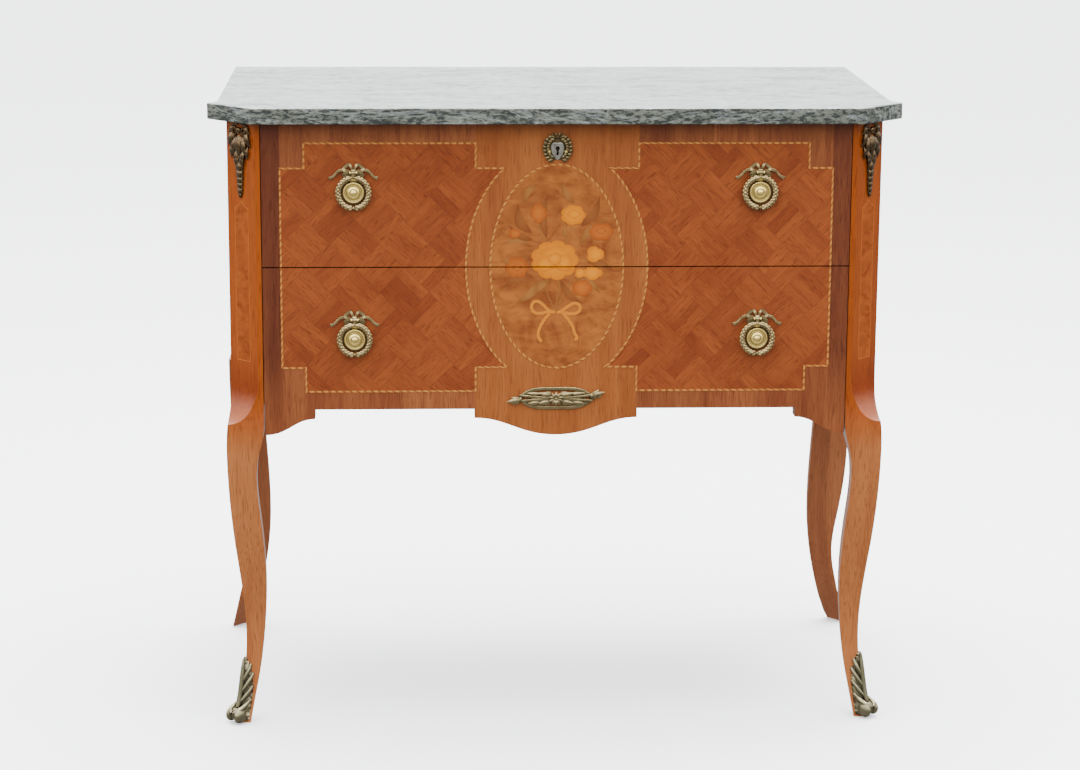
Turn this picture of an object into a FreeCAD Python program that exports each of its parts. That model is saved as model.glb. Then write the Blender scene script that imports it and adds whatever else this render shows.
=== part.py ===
import FreeCAD, Part
import math
import os
from FreeCAD import Vector

# Two-drawer commode with a loose marble top. Millimetres, +Z up, the front faces -Y,
# origin on the floor under the middle of the top.

# Marble top
overall_height = 755.0
top_width = 820.0  # over the two front ears
top_depth = 436.0
top_thickness = 19.0
ear_projection = 11.0  # how far an ear stands out past the slab's side
ear_slope_run = 15.0
top_cant = 53.0  # length taken off both sides of a front corner
top_arris = 0.8

# Overhangs of the top past the case
front_overhang = 24.0
ear_overhang = 22.0
back_overhang = 8.0

# Posts and legs
post_size = 40.0
post_cant = 34.0
knee_height = 375.0
scoop_height = 55.0  # hollow between the canted post and the knee
leg_shoulder_drop = 3.0  # where the inner faces start to curve below the knee
leg_chamfer = 15.0
rear_leg_chamfer = 22.0
rear_knee_projection = 24.0

# Case panels and rails
front_bottom = 392.0  # height of the straight lower edge of the front
panel_setback = 11.0
panel_thickness = 14.0
panel_groove = 8.0
side_ear_drop = 16.0  # how far the side panels' ends hang below their middle
back_thickness = 8.0
back_recess = 8.0
rail_width = 50.0
rail_thickness = 20.0
rail_tenon = 12.0
tenon_shoulder = 3.0
bottom_rail_rise = 2.0
runner_inset = 22.0  # bearing width of a runner under the drawer side
guide_height = 18.0
block_size = 14.0
block_length = 60.0
blocks_per_side = 3

# Drawers
front_thickness = 20.0
front_side_gap = 1.0
drawer_gap = 1.4
front_top_gap = 2.5
stop_clearance = 0.5
box_side_clearance = 3.5
slide_clearance = 0.3
guide_clearance = 0.5
kicker_clearance = 4.0
board_thickness = 12.0
board_groove = 5.0
bottom_thickness = 5.0
bottom_lift = 8.0
drawer_back_room = 10.0
back_board_inset = 6.0
back_board_drop = 8.0
tail_length = 14.0
tail_count = 4
tail_root_share = 0.28  # half widths of a tail as shares of the tails' pitch
tail_tip_share = 0.38

# Shaped lower edge of the front
tongue_half_width = 97.0
tongue_step = 11.0
tongue_drop = 32.0
ear_width = 60.0
ear_step = 11.5
ear_drop = 31.0

# Pulls
pull_inset = 108.0  # boss centre from the end of the drawer front
upper_pull_share = 0.52  # boss centre above the gap between the drawers, as a share of a front's height
lower_pull_share = 0.5  # and below it
pull_bow_half = 29.0
boss_radius = 13.0
boss_height = 9.5
ring_radius = 18.2
ring_wire_radius = 2.7
ring_stand = 5.6  # ring's plane in front of the drawer
pivot_rise = 23.6  # hinge pin above the boss centre
barrel_radius = 2.3
barrel_length = 5.0
pin_radius = 1.2
pin_clearance = 0.05
lug_width = 1.8
lug_clearance = 0.3
plate_thickness = 2.2
stud_radius = 2.5
stud_clearance = 0.2
stud_reach = 8.0
nut_flats = 8.0
nut_height = 4.0

# Lock
lock_drop = 31.0  # keyhole below the top of the case
lock_width = 64.0
lock_height = 40.0
lock_depth = 11.0
lock_plate = 2.0
lock_top_clearance = 2.0
bolt_width = 22.0
bolt_thickness = 4.0
bolt_height = 20.0
bolt_clearance = 0.2
bolt_way_clearance = 1.0
strike_thickness = 1.5
strike_length = 46.0
strike_width = 16.0
strike_shift = 6.0  # the bolt's slot lies this far forward of the strike plate's middle
keyhole_radius = 2.6
keyhole_slot = 2.6
keyhole_drop = 8.0

# Brass mounts
mount_thickness = 3.0
chute_height = 90.0
chute_half_width = 17.0
chute_top_gap = 3.0
apron_mount_rise = 13.0  # its centre above the straight lower edge
apron_mount_half = 60.0
apron_mount_half_height = 13.5
apron_loop_tilt = 14.0
escutcheon_half = 13.5
sabot_height = 81.0
sabot_base = 3.0
sabot_thickness = 3.0
sabot_half_width = 9.5
toe_scroll_radius = 8.5
toe_scroll_half_length = 7.5
toe_scroll_height = 11.5
toe_scroll_inset = 3.0
nail_radius = 0.8
nail_length = 9.0
nail_head_radius = 1.6
nail_head_height = 0.8
screw_radius = 1.75
screw_head_radius = 3.5
screw_head_height = 2.0
screw_places = (0.2, 0.8)  # shares of the length of what the screws hold
screw_bite = 0.7  # share of the side panel's thickness that a screw goes into

# Each leg edge: share of the knee height, and how far the edge lies outwards of the post's face
# as a share of the post's size
front_outer = [(1.0, 0.075), (0.88, 0.1125), (0.59, -0.0875), (0.28, -0.35), (0.11, -0.225), (0.0, -0.05)]
front_inner = [(0.9, 0.1625), (0.67, 0.125), (0.43, 0.02), (0.2, 0.2), (0.0, 0.55)]
rear_outer_x = [(0.8, 0.575), (0.6, 0.5125), (0.44, 0.3), (0.29, 0.125), (0.15, 0.35), (0.0, 0.675)]
rear_inner_x = [(0.85, 0.425), (0.72, 0.475), (0.5, 0.35), (0.25, 0.5), (0.1, 0.825), (0.0, 1.15)]
rear_outer_y = [(0.8, 0.05), (0.5, -0.05), (0.28, -0.15), (0.12, 0.0), (0.0, 0.15)]
rear_inner_y = [(0.85, 0.1), (0.5, 0.05), (0.25, 0.15), (0.1, 0.4), (0.0, 0.65)]

# Places worked out from the sizes above
case_top = overall_height - top_thickness
front_y = front_overhang - top_depth / 2
back_y = top_depth / 2 - back_overhang
post_x = top_width / 2 - ear_overhang
post_in = post_x - post_size
front_post_back = front_y + post_size
rear_post_front = back_y - post_size
panel_out = post_x - panel_setback
panel_in = panel_out - panel_thickness
back_panel_front = back_y - back_recess - back_thickness
gap_z = (front_bottom + case_top) / 2
front_back = front_y + front_thickness
rail_front = front_back + stop_clearance
rail_back = rail_front + rail_width
top_rail_z = case_top - rail_thickness
middle_rail_z = gap_z - rail_thickness / 2
bottom_rail_z = front_bottom + bottom_rail_rise
side_low = front_bottom - side_ear_drop
box_out = post_in - box_side_clearance
box_in = box_out - board_thickness
box_end = rear_post_front - drawer_back_room
back_board_back = box_end - back_board_inset
back_board_front = back_board_back - board_thickness
scoop_top = knee_height + scoop_height
inner_shoulder = knee_height - leg_shoulder_drop
keyhole_z = case_top - lock_drop
lock_top = top_rail_z - lock_top_clearance
front_half = post_in - front_side_gap
pull_x = front_half - pull_inset
diagonal = math.sqrt(2)
far = top_width  # longer than anything a cutting shape has to pass through
overcut = 1.0  # how far a cutting shape starts outside the face it cuts


def box(x0, x1, y0, y1, z0, z1):
    return Part.makeBox(x1 - x0, y1 - y0, z1 - z0, Vector(x0, y0, z0))


def line(a, b):
    return Part.makeLine(a, b)


def spline(points, start=None, end=None):
    curve = Part.BSplineCurve()
    if start is None:
        curve.interpolate(points)
    else:
        curve.interpolate(Points=points, InitialTangent=start, FinalTangent=end)
    return curve.toShape()


def bezier(*poles):
    curve = Part.BezierCurve()
    curve.setPoles(list(poles))
    return curve.toShape()


def extrude(edges, direction):
    return Part.Face(Part.Wire(edges)).extrude(direction)


def polygon(points, direction):
    return Part.Face(Part.makePolygon(points + points[:1])).extrude(direction)


def cylinder(radius, start, end):
    return Part.makeCylinder(radius, (end - start).Length, start, end - start)


def mirrored(shape):
    return shape.mirror(Vector(0, 0, 0), Vector(1, 0, 0))


def moved(shape, x, y, z):
    copy = shape.copy()
    copy.translate(Vector(x, y, z))
    return copy


def save(name, *shapes):
    shape = shapes[0] if len(shapes) == 1 else Part.makeCompound(list(shapes))
    shape.exportStep(os.path.join("parts", name + ".step"))


# Marble top
def marble_top():
    side = top_width / 2 - ear_projection
    ear = top_width / 2
    front = -top_depth / 2
    back = top_depth / 2
    ear_front = front + top_cant
    right = [
        (side, back),
        (side, ear_front + ear_slope_run),
        (ear, ear_front),
        (ear - top_cant, front),
    ]
    left = [(-x, y) for x, y in reversed(right)]
    slab = polygon([Vector(x, y, case_top) for x, y in right + left], Vector(0, 0, top_thickness))
    level = [e for e in slab.Edges if abs(e.BoundBox.ZMax - e.BoundBox.ZMin) < top_arris]
    return slab.makeChamfer(top_arris, level)


# Legs: each is the overlap of its outline seen from the front and its outline seen from the side
def edge_points(place, face, outward, stations):
    return [
        place(face + outward * offset * post_size, share * knee_height) for share, offset in stations
    ]


def leg_outline(place, outer_face, inner_face, outward, outer, inner, extra=0.0, knee=None):
    down = Vector(0, 0, -1)
    shoulder = scoop_top - scoop_height / 2 if knee is None else scoop_top
    top_outer = place(outer_face, case_top)
    top_inner = place(inner_face, case_top)
    post_end = place(outer_face + outward * extra, shoulder)
    outer_points = edge_points(place, outer_face + outward * extra, outward, outer)
    inner_points = [place(inner_face, inner_shoulder)]
    inner_points += edge_points(place, inner_face, outward, inner)
    edges = [line(top_outer, place(outer_face, shoulder))]
    if extra:
        edges.append(line(place(outer_face, shoulder), post_end))
    if knee is None:
        outer_points.insert(0, post_end)
    else:
        hollow = outer_face + outward * knee
        edges.append(
            bezier(
                post_end,
                place(outer_face, knee_height + scoop_height / 3),
                place(outer_face + outward * knee / 2, knee_height),
                place(hollow, knee_height),
            )
        )
        outer_points.insert(0, place(hollow, knee_height))
    toe = outer_points[-1] - outer_points[-2]
    heel = inner_points[-1] - inner_points[-2]
    edges.append(spline(outer_points, down, toe.normalize()))
    edges.append(line(outer_points[-1], inner_points[-1]))
    edges.append(spline(inner_points, down, heel.normalize()))
    edges.append(line(inner_points[0], top_inner))
    edges.append(line(top_inner, top_outer))
    return Part.Face(Part.Wire(Part.__sortEdges__(edges)))


def from_front(u, z):
    return Vector(u, -far, z)


def from_side(u, z):
    return Vector(-far, u, z)


def front_leg_blank(extra=0.0):
    seen_front = leg_outline(from_front, post_x, post_in, 1, front_outer, front_inner, extra)
    seen_side = leg_outline(
        from_side, front_y, front_post_back, -1, front_outer, front_inner, extra
    )
    return seen_front.extrude(Vector(0, 2 * far, 0)).common(
        seen_side.extrude(Vector(2 * far, 0, 0))
    )


def diagonal_prism(corner_y, outward_y, draw_edges):
    # A shape drawn in the upright plane through the post's outer corner, along the diagonal
    across = Vector(1, -outward_y, 0).normalize()
    out = Vector(1, outward_y, 0).normalize()
    start = Vector(post_x, corner_y, 0) - across * far

    def place(s, z):
        return start + out * s + Vector(0, 0, z)

    return extrude(draw_edges(place), across * 2 * far)


def scoop_edges(place):
    cant = -post_cant / diagonal
    corner = diagonal * front_outer[0][1] * post_size
    top = place(cant, case_top + far)
    begin = place(cant, scoop_top)
    end = place(corner, knee_height)
    beyond = place(far, knee_height)
    above = place(far, case_top + far)
    hollow = bezier(
        begin,
        place(cant, knee_height + scoop_height / 3),
        place((cant + corner) / 2, knee_height),
        end,
    )
    return [line(top, begin), hollow, line(end, beyond), line(beyond, above), line(above, top)]


def inner_chamfer_edges(inner_x, inner_y, chamfer):
    def edges(place):
        corner = -2 * post_size / diagonal
        points = [place(corner, inner_shoulder)]
        for (share, offset_x), (_, offset_y) in zip(inner_x, inner_y):
            s = ((offset_x + offset_y - 2) * post_size + chamfer) / diagonal
            points.append(place(s, share * knee_height))
        below = place(-far, 0)
        beside = place(-far, inner_shoulder)
        return [
            spline(points),
            line(points[-1], below),
            line(below, beside),
            line(beside, points[0]),
        ]

    return edges


def panel_slots():
    # Grooves in the right-hand posts for the side panel and the back panel
    side = box(
        panel_in,
        panel_out,
        front_post_back - panel_groove,
        rear_post_front + panel_groove,
        side_low,
        case_top,
    )
    back = box(
        post_in - panel_groove,
        post_in + panel_groove,
        back_panel_front,
        back_panel_front + back_thickness,
        front_bottom,
        case_top,
    )
    return [side, back]


def front_leg():
    leg = front_leg_blank()
    leg = leg.cut(diagonal_prism(front_y, -1, scoop_edges))
    chamfer = inner_chamfer_edges(front_inner, front_inner, leg_chamfer)
    return leg.cut(diagonal_prism(front_y, -1, chamfer))


def rear_leg():
    seen_front = leg_outline(
        from_front, post_x, post_in, 1, rear_outer_x, rear_inner_x, knee=rear_knee_projection
    )
    seen_side = leg_outline(from_side, back_y, rear_post_front, 1, rear_outer_y, rear_inner_y)
    leg = seen_front.extrude(Vector(0, 2 * far, 0)).common(seen_side.extrude(Vector(2 * far, 0, 0)))
    depths = [rear_inner_y[0]] + rear_inner_y
    chamfer = inner_chamfer_edges(rear_inner_x, depths, rear_leg_chamfer)
    return leg.cut(diagonal_prism(back_y, 1, chamfer))


# Case boards
def side_panel():
    y0 = front_post_back - panel_groove
    y1 = rear_post_front + panel_groove

    def place(y, z):
        return Vector(panel_in, y, z)

    foot_front = place(front_post_back, side_low)
    foot_back = place(rear_post_front, side_low)
    # A cubic arch rises to three quarters of its middle poles, so its crown meets the front's lower edge
    pull_up = side_low + side_ear_drop * 4 / 3
    arch = bezier(
        foot_front,
        place(front_post_back / 2, pull_up),
        place(rear_post_front / 2, pull_up),
        foot_back,
    )
    edges = [
        line(place(y0, case_top), place(y0, side_low)),
        line(place(y0, side_low), foot_front),
        arch,
        line(foot_back, place(y1, side_low)),
        line(place(y1, side_low), place(y1, case_top)),
        line(place(y1, case_top), place(y0, case_top)),
    ]
    return extrude(edges, Vector(panel_thickness, 0, 0))


def back_panel():
    half = post_in + panel_groove
    return box(
        -half, half, back_panel_front, back_panel_front + back_thickness, front_bottom, case_top
    )


def rail(y0, y1, z, tenon_y0, tenon_y1):
    body = box(-post_in, post_in, y0, y1, z, z + rail_thickness)
    reach = post_in + rail_tenon
    tenon = box(
        -reach, reach, tenon_y0, tenon_y1, z + tenon_shoulder, z + rail_thickness - tenon_shoulder
    )
    return body.fuse(tenon).removeSplitter()


def front_rail(z):
    return rail(
        rail_front, rail_back, z, rail_front + tenon_shoulder, front_post_back - tenon_shoulder
    )


def rear_rail(z):
    return rail(
        rear_post_front,
        back_panel_front,
        z,
        rear_post_front + tenon_shoulder,
        back_panel_front - tenon_shoulder,
    )


def runner(tread_top):
    tread = box(
        box_out - runner_inset,
        panel_in,
        rail_back,
        rear_post_front,
        tread_top - rail_thickness,
        tread_top,
    )
    guide = box(
        box_out + guide_clearance,
        panel_in,
        rail_back,
        rear_post_front,
        tread_top,
        tread_top + guide_height,
    )
    return tread.fuse(guide).removeSplitter()


def kicker():
    return box(
        box_out - runner_inset, panel_in, rail_back, rear_post_front, top_rail_z, case_top
    )


def glue_blocks():
    # Triangular blocks in the corner under the upper runner, against the side panel
    z = middle_rail_z
    run = rear_post_front - rail_back
    blocks = []
    for i in range(blocks_per_side):
        y = rail_back + run * (i + 0.5) / blocks_per_side - block_length / 2
        corners = [
            Vector(panel_in, y, z),
            Vector(panel_in - block_size, y, z),
            Vector(panel_in, y, z - block_size),
        ]
        blocks.append(polygon(corners, Vector(0, block_length, 0)))
    return blocks


def screw(head_centre, direction, length):
    tip = head_centre + direction * length
    seat = head_centre + direction * screw_head_height
    head = Part.makeCone(
        screw_head_radius, screw_radius, screw_head_height, head_centre, direction
    )
    return head.fuse(cylinder(screw_radius, seat, tip)).removeSplitter()


def runner_screws():
    # Two screws through each right-hand guide into the side panel
    length = panel_in - box_out - guide_clearance + panel_thickness * screw_bite
    run = rear_post_front - rail_back
    screws = []
    for tread_top in (bottom_rail_z + rail_thickness, middle_rail_z + rail_thickness):
        for share in screw_places:
            head = Vector(
                box_out + guide_clearance,
                rail_back + run * share,
                tread_top + guide_height / 2,
            )
            screws.append(screw(head, Vector(1, 0, 0), length))
    return screws


# Drawers
def tails(z0, z1):
    # Dovetails on the front end of the right-hand drawer side
    pitch = (z1 - z0) / tail_count
    root = pitch * tail_root_share
    tip = pitch * tail_tip_share
    found = []
    for i in range(tail_count):
        z = z0 + pitch * (i + 0.5)
        corners = [
            Vector(box_in, front_back, z - root),
            Vector(box_in, front_back - tail_length, z - tip),
            Vector(box_in, front_back - tail_length, z + tip),
            Vector(box_in, front_back, z + root),
        ]
        found.append(polygon(corners, Vector(board_thickness, 0, 0)))
    return found


def drawer_bottom(z0):
    half = box_in + board_groove
    z = z0 + bottom_lift
    return box(-half, half, front_back - board_groove, back_board_back, z, z + bottom_thickness)


def drawer_back(z0, z1):
    half = box_in + board_groove
    low = z0 + bottom_lift + bottom_thickness
    return box(-half, half, back_board_front, back_board_back, low, z1 - back_board_drop)


def drawer_side(z0, z1):
    side = box(box_in, box_out, front_back, box_end, z0, z1)
    side = side.fuse(tails(z0, z1)).removeSplitter()
    return side.cut([drawer_bottom(z0), drawer_back(z0, z1)])


def upper_front_blank():
    low = gap_z + drawer_gap / 2
    high = case_top - front_top_gap
    return box(-front_half, front_half, front_y, front_back, low, high)


def lower_front_blank():
    half = front_half
    top = gap_z - drawer_gap / 2
    tongue_z = front_bottom - tongue_step
    tongue_low = front_bottom - tongue_drop
    ear_z = front_bottom - ear_step
    ear_low = front_bottom - ear_drop
    ear_start = half - ear_width

    def place(x, z):
        return Vector(x, front_y, z)

    def lower_edge(side):
        def at(x, z):
            return place(side * x, z)

        return [
            bezier(
                at(0, tongue_low),
                at(tongue_half_width * 0.45, tongue_low),
                at(tongue_half_width * 0.6, tongue_z),
                at(tongue_half_width, tongue_z),
            ),
            line(at(tongue_half_width, tongue_z), at(tongue_half_width, front_bottom)),
            line(at(tongue_half_width, front_bottom), at(ear_start, front_bottom)),
            line(at(ear_start, front_bottom), at(ear_start, ear_z)),
            bezier(
                at(ear_start, ear_z),
                at(ear_start + ear_width * 0.42, ear_z),
                at(ear_start + ear_width * 0.52, ear_low),
                at(half, ear_low),
            ),
            line(at(half, ear_low), at(half, top)),
        ]

    edges = lower_edge(1) + lower_edge(-1) + [line(place(half, top), place(-half, top))]
    return extrude(Part.__sortEdges__(edges), Vector(0, front_thickness, 0))


def fitted_front(blank, z0, z1, pull_z):
    cuts = tails(z0, z1)
    cuts += [mirrored(t) for t in cuts]
    cuts.append(drawer_bottom(z0))
    for x in (-pull_x, pull_x):
        cuts.append(
            cylinder(
                stud_radius + stud_clearance,
                Vector(x, front_y - overcut, pull_z),
                Vector(x, front_back + overcut, pull_z),
            )
        )
    return blank.cut(cuts)


# Pulls, drawn about the boss centre with the drawer face at y = 0
def ribbon(points, width, depth):
    # A flat strip along a few points, front face at -depth
    left = []
    right = []
    for i, point in enumerate(points):
        before = points[max(i - 1, 0)]
        after = points[min(i + 1, len(points) - 1)]
        along = Vector(after[0] - before[0], 0, after[1] - before[1]).normalize()
        side = Vector(along.z, 0, -along.x) * (width / 2)
        centre = Vector(point[0], 0, point[1])
        left.append(centre + side)
        right.append(centre - side)
    edges = [
        spline(left),
        line(left[-1], right[-1]),
        spline(list(reversed(right))),
        line(right[0], left[0]),
    ]
    return extrude(edges, Vector(0, -depth, 0))


def oval(half_width, half_height, depth):
    # An upright oval plate, back at y = 0
    long, short = max(half_width, half_height), min(half_width, half_height)
    rim = Part.Ellipse(Vector(0, 0, 0), long, short).toShape()
    plate = Part.Face(Part.Wire(rim)).extrude(Vector(0, 0, depth))
    plate.rotate(Vector(0, 0, 0), Vector(1, 0, 0), 90)
    if half_height > half_width:
        plate.rotate(Vector(0, 0, 0), Vector(0, 1, 0), 90)
    return plate


def bow_loop(x, z, length, height, width, tilt, depth):
    ring = oval(length, height, depth).cut(oval(length - width, height - width, depth))
    ring.rotate(Vector(0, 0, 0), Vector(0, -1, 0), tilt)
    return moved(ring, x, 0, z)


def bow(z, size, depth):
    # Ribbon bow: two loops, two waving tails and a round knot; size is half its width
    pieces = [cylinder(size * 0.12, Vector(0, 0, z), Vector(0, -depth * 1.3, z))]
    for side in (-1, 1):
        pieces.append(
            bow_loop(
                side * size * 0.28,
                z + size * 0.12,
                size * 0.3,
                size * 0.19,
                size * 0.09,
                side * 32,
                depth,
            )
        )
        wave = [(0.0, 0.0), (0.4, -0.02), (0.66, -0.2), (1.0, -0.3)]
        tail = [(side * size * along, z + size * rise) for along, rise in wave]
        pieces.append(ribbon(tail, size * 0.13, depth))
    return pieces[0].fuse(pieces[1:])


def pull_plate():
    # Turned rings of the boss: share of its radius, share of its height
    profile = [
        (0, 0), (1, 0), (1, 0.5), (0.93, 0.68), (0.8, 0.68), (0.75, 0.55),
        (0.62, 0.55), (0.55, 0.8), (0.35, 0.9), (0.3, 0.8), (0.2, 0.95), (0, 1),
    ]
    outline = [Vector(r * boss_radius, -h * boss_height, 0) for r, h in profile]
    boss = Part.Face(Part.makePolygon(outline + outline[:1])).revolve(
        Vector(0, 0, 0), Vector(0, 1, 0), 360
    )
    neck_half = barrel_length / 2 + lug_clearance + lug_width
    neck = box(-neck_half, neck_half, -plate_thickness, 0, 0, pivot_rise + barrel_radius)
    stud = cylinder(stud_radius, Vector(0, 0, 0), Vector(0, front_thickness + stud_reach, 0))
    lugs = []
    lug_in = barrel_length / 2 + lug_clearance
    lug_half = barrel_radius * 0.9
    for side in (-1, 1):
        x0 = min(side * lug_in, side * (lug_in + lug_width))
        arm = box(x0, x0 + lug_width, -ring_stand, 0, pivot_rise - lug_half, pivot_rise + lug_half)
        eye = cylinder(
            lug_half,
            Vector(x0, -ring_stand, pivot_rise),
            Vector(x0 + lug_width, -ring_stand, pivot_rise),
        )
        lugs += [arm, eye]
    knot_z = pivot_rise + barrel_radius + pin_radius
    plate = boss.fuse([neck, stud, bow(knot_z, pull_bow_half, plate_thickness)] + lugs)
    return plate.removeSplitter().cut(pull_pin(pin_clearance))


def pull_pin(clearance=0.0):
    half = barrel_length / 2 + lug_clearance + lug_width
    return cylinder(
        pin_radius + clearance,
        Vector(-half, -ring_stand, pivot_rise),
        Vector(half, -ring_stand, pivot_rise),
    )


def pull_ring():
    wreath = Part.makeTorus(
        ring_radius, ring_wire_radius, Vector(0, -ring_stand, 0), Vector(0, 1, 0)
    )
    half = barrel_length / 2
    barrel = cylinder(
        barrel_radius,
        Vector(-half, -ring_stand, pivot_rise),
        Vector(half, -ring_stand, pivot_rise),
    )
    stem_half = barrel_radius * 0.8
    stem = box(
        -half, half, -ring_stand - stem_half, -ring_stand + stem_half, ring_radius, pivot_rise
    )
    return wreath.fuse([barrel, stem]).removeSplitter().cut(pull_pin(pin_clearance))


def pull_nut():
    corner = nut_flats / math.sqrt(3)
    turns = [math.radians(60 * i) for i in range(6)]
    corners = [
        Vector(corner * math.cos(turn), front_thickness, corner * math.sin(turn)) for turn in turns
    ]
    return polygon(corners, Vector(0, nut_height, 0)).cut(
        cylinder(stud_radius, Vector(0, 0, 0), Vector(0, front_thickness + stud_reach, 0))
    )


# Lock and escutcheon
def keyhole(y0, y1):
    round_part = cylinder(
        keyhole_radius, Vector(0, y0, keyhole_z), Vector(0, y1, keyhole_z)
    )
    slot = box(-keyhole_slot / 2, keyhole_slot / 2, y0, y1, keyhole_z - keyhole_drop, keyhole_z)
    return round_part.fuse(slot)


def lock_bolt():
    y0 = front_back + lock_plate + bolt_clearance
    return box(
        -bolt_width / 2, bolt_width / 2, y0, y0 + bolt_thickness, lock_top - bolt_height, lock_top
    )


def lock_case():
    half = lock_width / 2
    body = box(-half, half, front_back, front_back + lock_depth, lock_top - lock_height, lock_top)
    y0 = front_back + lock_plate
    room = box(
        -bolt_width / 2 - bolt_clearance,
        bolt_width / 2 + bolt_clearance,
        y0,
        y0 + bolt_thickness + 2 * bolt_clearance,
        lock_top - bolt_height,
        lock_top + overcut,
    )
    way = keyhole(front_back - overcut, front_back + lock_plate)
    return body.cut([room, way] + lock_screws())


def lock_screws():
    length = lock_depth + front_thickness / 2
    found = []
    for x in (-1, 1):
        for share in screw_places:
            z = lock_top - lock_height * share
            head = Vector(x * (lock_width / 2 - 2 * screw_head_radius), front_back + lock_depth, z)
            found.append(screw(head, Vector(0, -1, 0), length))
    return found


def strike_plate():
    y0 = front_back + lock_plate + bolt_thickness / 2 - strike_width / 2 + strike_shift
    plate = box(
        -strike_length / 2,
        strike_length / 2,
        y0,
        y0 + strike_width,
        top_rail_z,
        top_rail_z + strike_thickness,
    )
    return plate.cut(bolt_way())


def bolt_way():
    # Slot above the bolt, through the strike plate and into the rail
    y0 = front_back + lock_plate
    return box(
        -bolt_width / 2 - bolt_way_clearance,
        bolt_width / 2 + bolt_way_clearance,
        y0 - bolt_clearance,
        y0 + bolt_thickness + 3 * bolt_clearance,
        top_rail_z - overcut,
        top_rail_z + bolt_height / 2,
    )


def nail(point, direction):
    # Domed brass nail whose head sits at the point, driven the way of the direction
    head = cylinder(nail_head_radius, point - direction * nail_head_height, point)
    return head.fuse(cylinder(nail_radius, point, point + direction * nail_length)).removeSplitter()


def escutcheon_nails():
    inward = Vector(0, 1, 0)
    x = escutcheon_half * 0.72
    z = keyhole_z - escutcheon_half * 0.25
    return [nail(Vector(side * x, front_y - mount_thickness, z), inward) for side in (-1, 1)]


def escutcheon():
    disc = oval(escutcheon_half * 1.05, escutcheon_half, mount_thickness)
    dome = Part.makeSphere(escutcheon_half)
    dome = moved(dome, 0, escutcheon_half * 0.62 - mount_thickness, 0).common(
        box(-far, far, -far, 0, -far, far)
    )
    crest = bow(escutcheon_half * 1.05, escutcheon_half * 1.25, mount_thickness * 1.2)
    shape = disc.fuse([dome, crest]).removeSplitter()
    shape = moved(shape, 0, front_y, keyhole_z)
    return shape.cut([keyhole(front_y - far, front_y + overcut)] + escutcheon_nails())


# Mounts on the apron, the posts and the front feet
def apron_nails():
    inward = Vector(0, 1, 0)
    z = front_bottom + apron_mount_rise
    return [
        nail(Vector(side * apron_mount_half * 0.45, front_y - mount_thickness, z), inward)
        for side in (-1, 1)
    ]


def apron_mount():
    half = apron_mount_half
    tall = apron_mount_half_height
    pieces = [cylinder(tall * 0.55, Vector(0, 0, 0), Vector(0, -mount_thickness * 1.6, 0))]
    for side in (-1, 1):
        shaft = polygon(
            [
                Vector(-side * half, 0, -tall * 0.55),
                Vector(-side * half, 0, -tall * 0.25),
                Vector(side * half * 0.9, 0, tall * 0.75),
                Vector(side * half * 0.95, 0, tall * 0.2),
            ],
            Vector(0, -mount_thickness, 0),
        )
        pieces.append(shaft)
        for rise in (-1, 1):
            pieces.append(
                bow_loop(
                    side * half * 0.46,
                    rise * tall * 0.42,
                    half * 0.4,
                    tall * 0.5,
                    tall * 0.2,
                    -side * rise * apron_loop_tilt,
                    mount_thickness,
                )
            )
    shape = pieces[0].fuse(pieces[1:]).removeSplitter()
    return moved(shape, 0, front_y, front_bottom + apron_mount_rise).cut(apron_nails())


def on_cant(shape):
    # From a front-facing place to the middle of the right-hand canted post
    turned = shape.copy()
    turned.rotate(Vector(0, 0, 0), Vector(0, 0, 1), 45)
    return moved(turned, post_x - post_cant / 2, front_y + post_cant / 2, case_top - chute_top_gap)


def chute_nails():
    inward = Vector(0, 1, 0)
    heights = (-chute_height * 0.12, -chute_height * 0.56)
    return [on_cant(nail(Vector(0, -mount_thickness, z), inward)) for z in heights]


def corner_mount():
    half = chute_half_width
    tall = chute_height
    right = [
        (half, 0),
        (half * 0.9, -tall * 0.18),
        (half * 0.98, -tall * 0.33),
        (half * 0.5, -tall * 0.5),
        (half * 0.22, -tall * 0.72),
        (half * 0.4, -tall * 0.9),
        (0, -tall),
    ]
    points = [Vector(x, 0, z) for x, z in right]
    left = [Vector(-p.x, 0, p.z) for p in reversed(points)]
    body = extrude(
        [spline(points), spline(left), line(left[-1], points[0])], Vector(0, -mount_thickness, 0)
    )
    piercings = []
    for side in (-1, 1):
        piercings.append(
            cylinder(
                half * 0.22,
                Vector(side * half * 0.5, overcut, -tall * 0.12),
                Vector(side * half * 0.5, -far, -tall * 0.12),
            )
        )
        piercings.append(
            cylinder(
                half * 0.2,
                Vector(side * half * 0.42, overcut, -tall * 0.3),
                Vector(side * half * 0.42, -far, -tall * 0.3),
            )
        )
    return on_cant(body.cut(piercings)).cut(chute_nails())


def sabot():
    across = Vector(1, 1, 0).normalize()
    out = Vector(1, -1, 0).normalize()
    start = Vector(post_x, front_y, 0) - out * post_size
    foot = front_leg_blank()

    def place(t, z):
        return start + across * t + Vector(0, 0, z)

    wide = sabot_half_width
    rise = sabot_height - sabot_base
    side = [
        (wide, sabot_base),
        (wide * 0.95, sabot_base + rise * 0.35),
        (wide * 0.7, sabot_base + rise * 0.7),
        (0, sabot_height),
    ]
    right = [place(t, z) for t, z in side]
    left = [place(-t, z) for t, z in reversed(side)]
    outline = extrude(
        [spline(right), spline(left), line(left[-1], right[0])], out * (post_size * 2)
    )
    shell = front_leg_blank(sabot_thickness).common(outline)
    scroll_centre = Vector(post_x, front_y, toe_scroll_height) - out * toe_scroll_inset
    scroll = cylinder(
        toe_scroll_radius,
        scroll_centre - across * toe_scroll_half_length,
        scroll_centre + across * toe_scroll_half_length,
    )
    return shell.fuse(scroll).removeSplitter().cut(foot)


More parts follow.
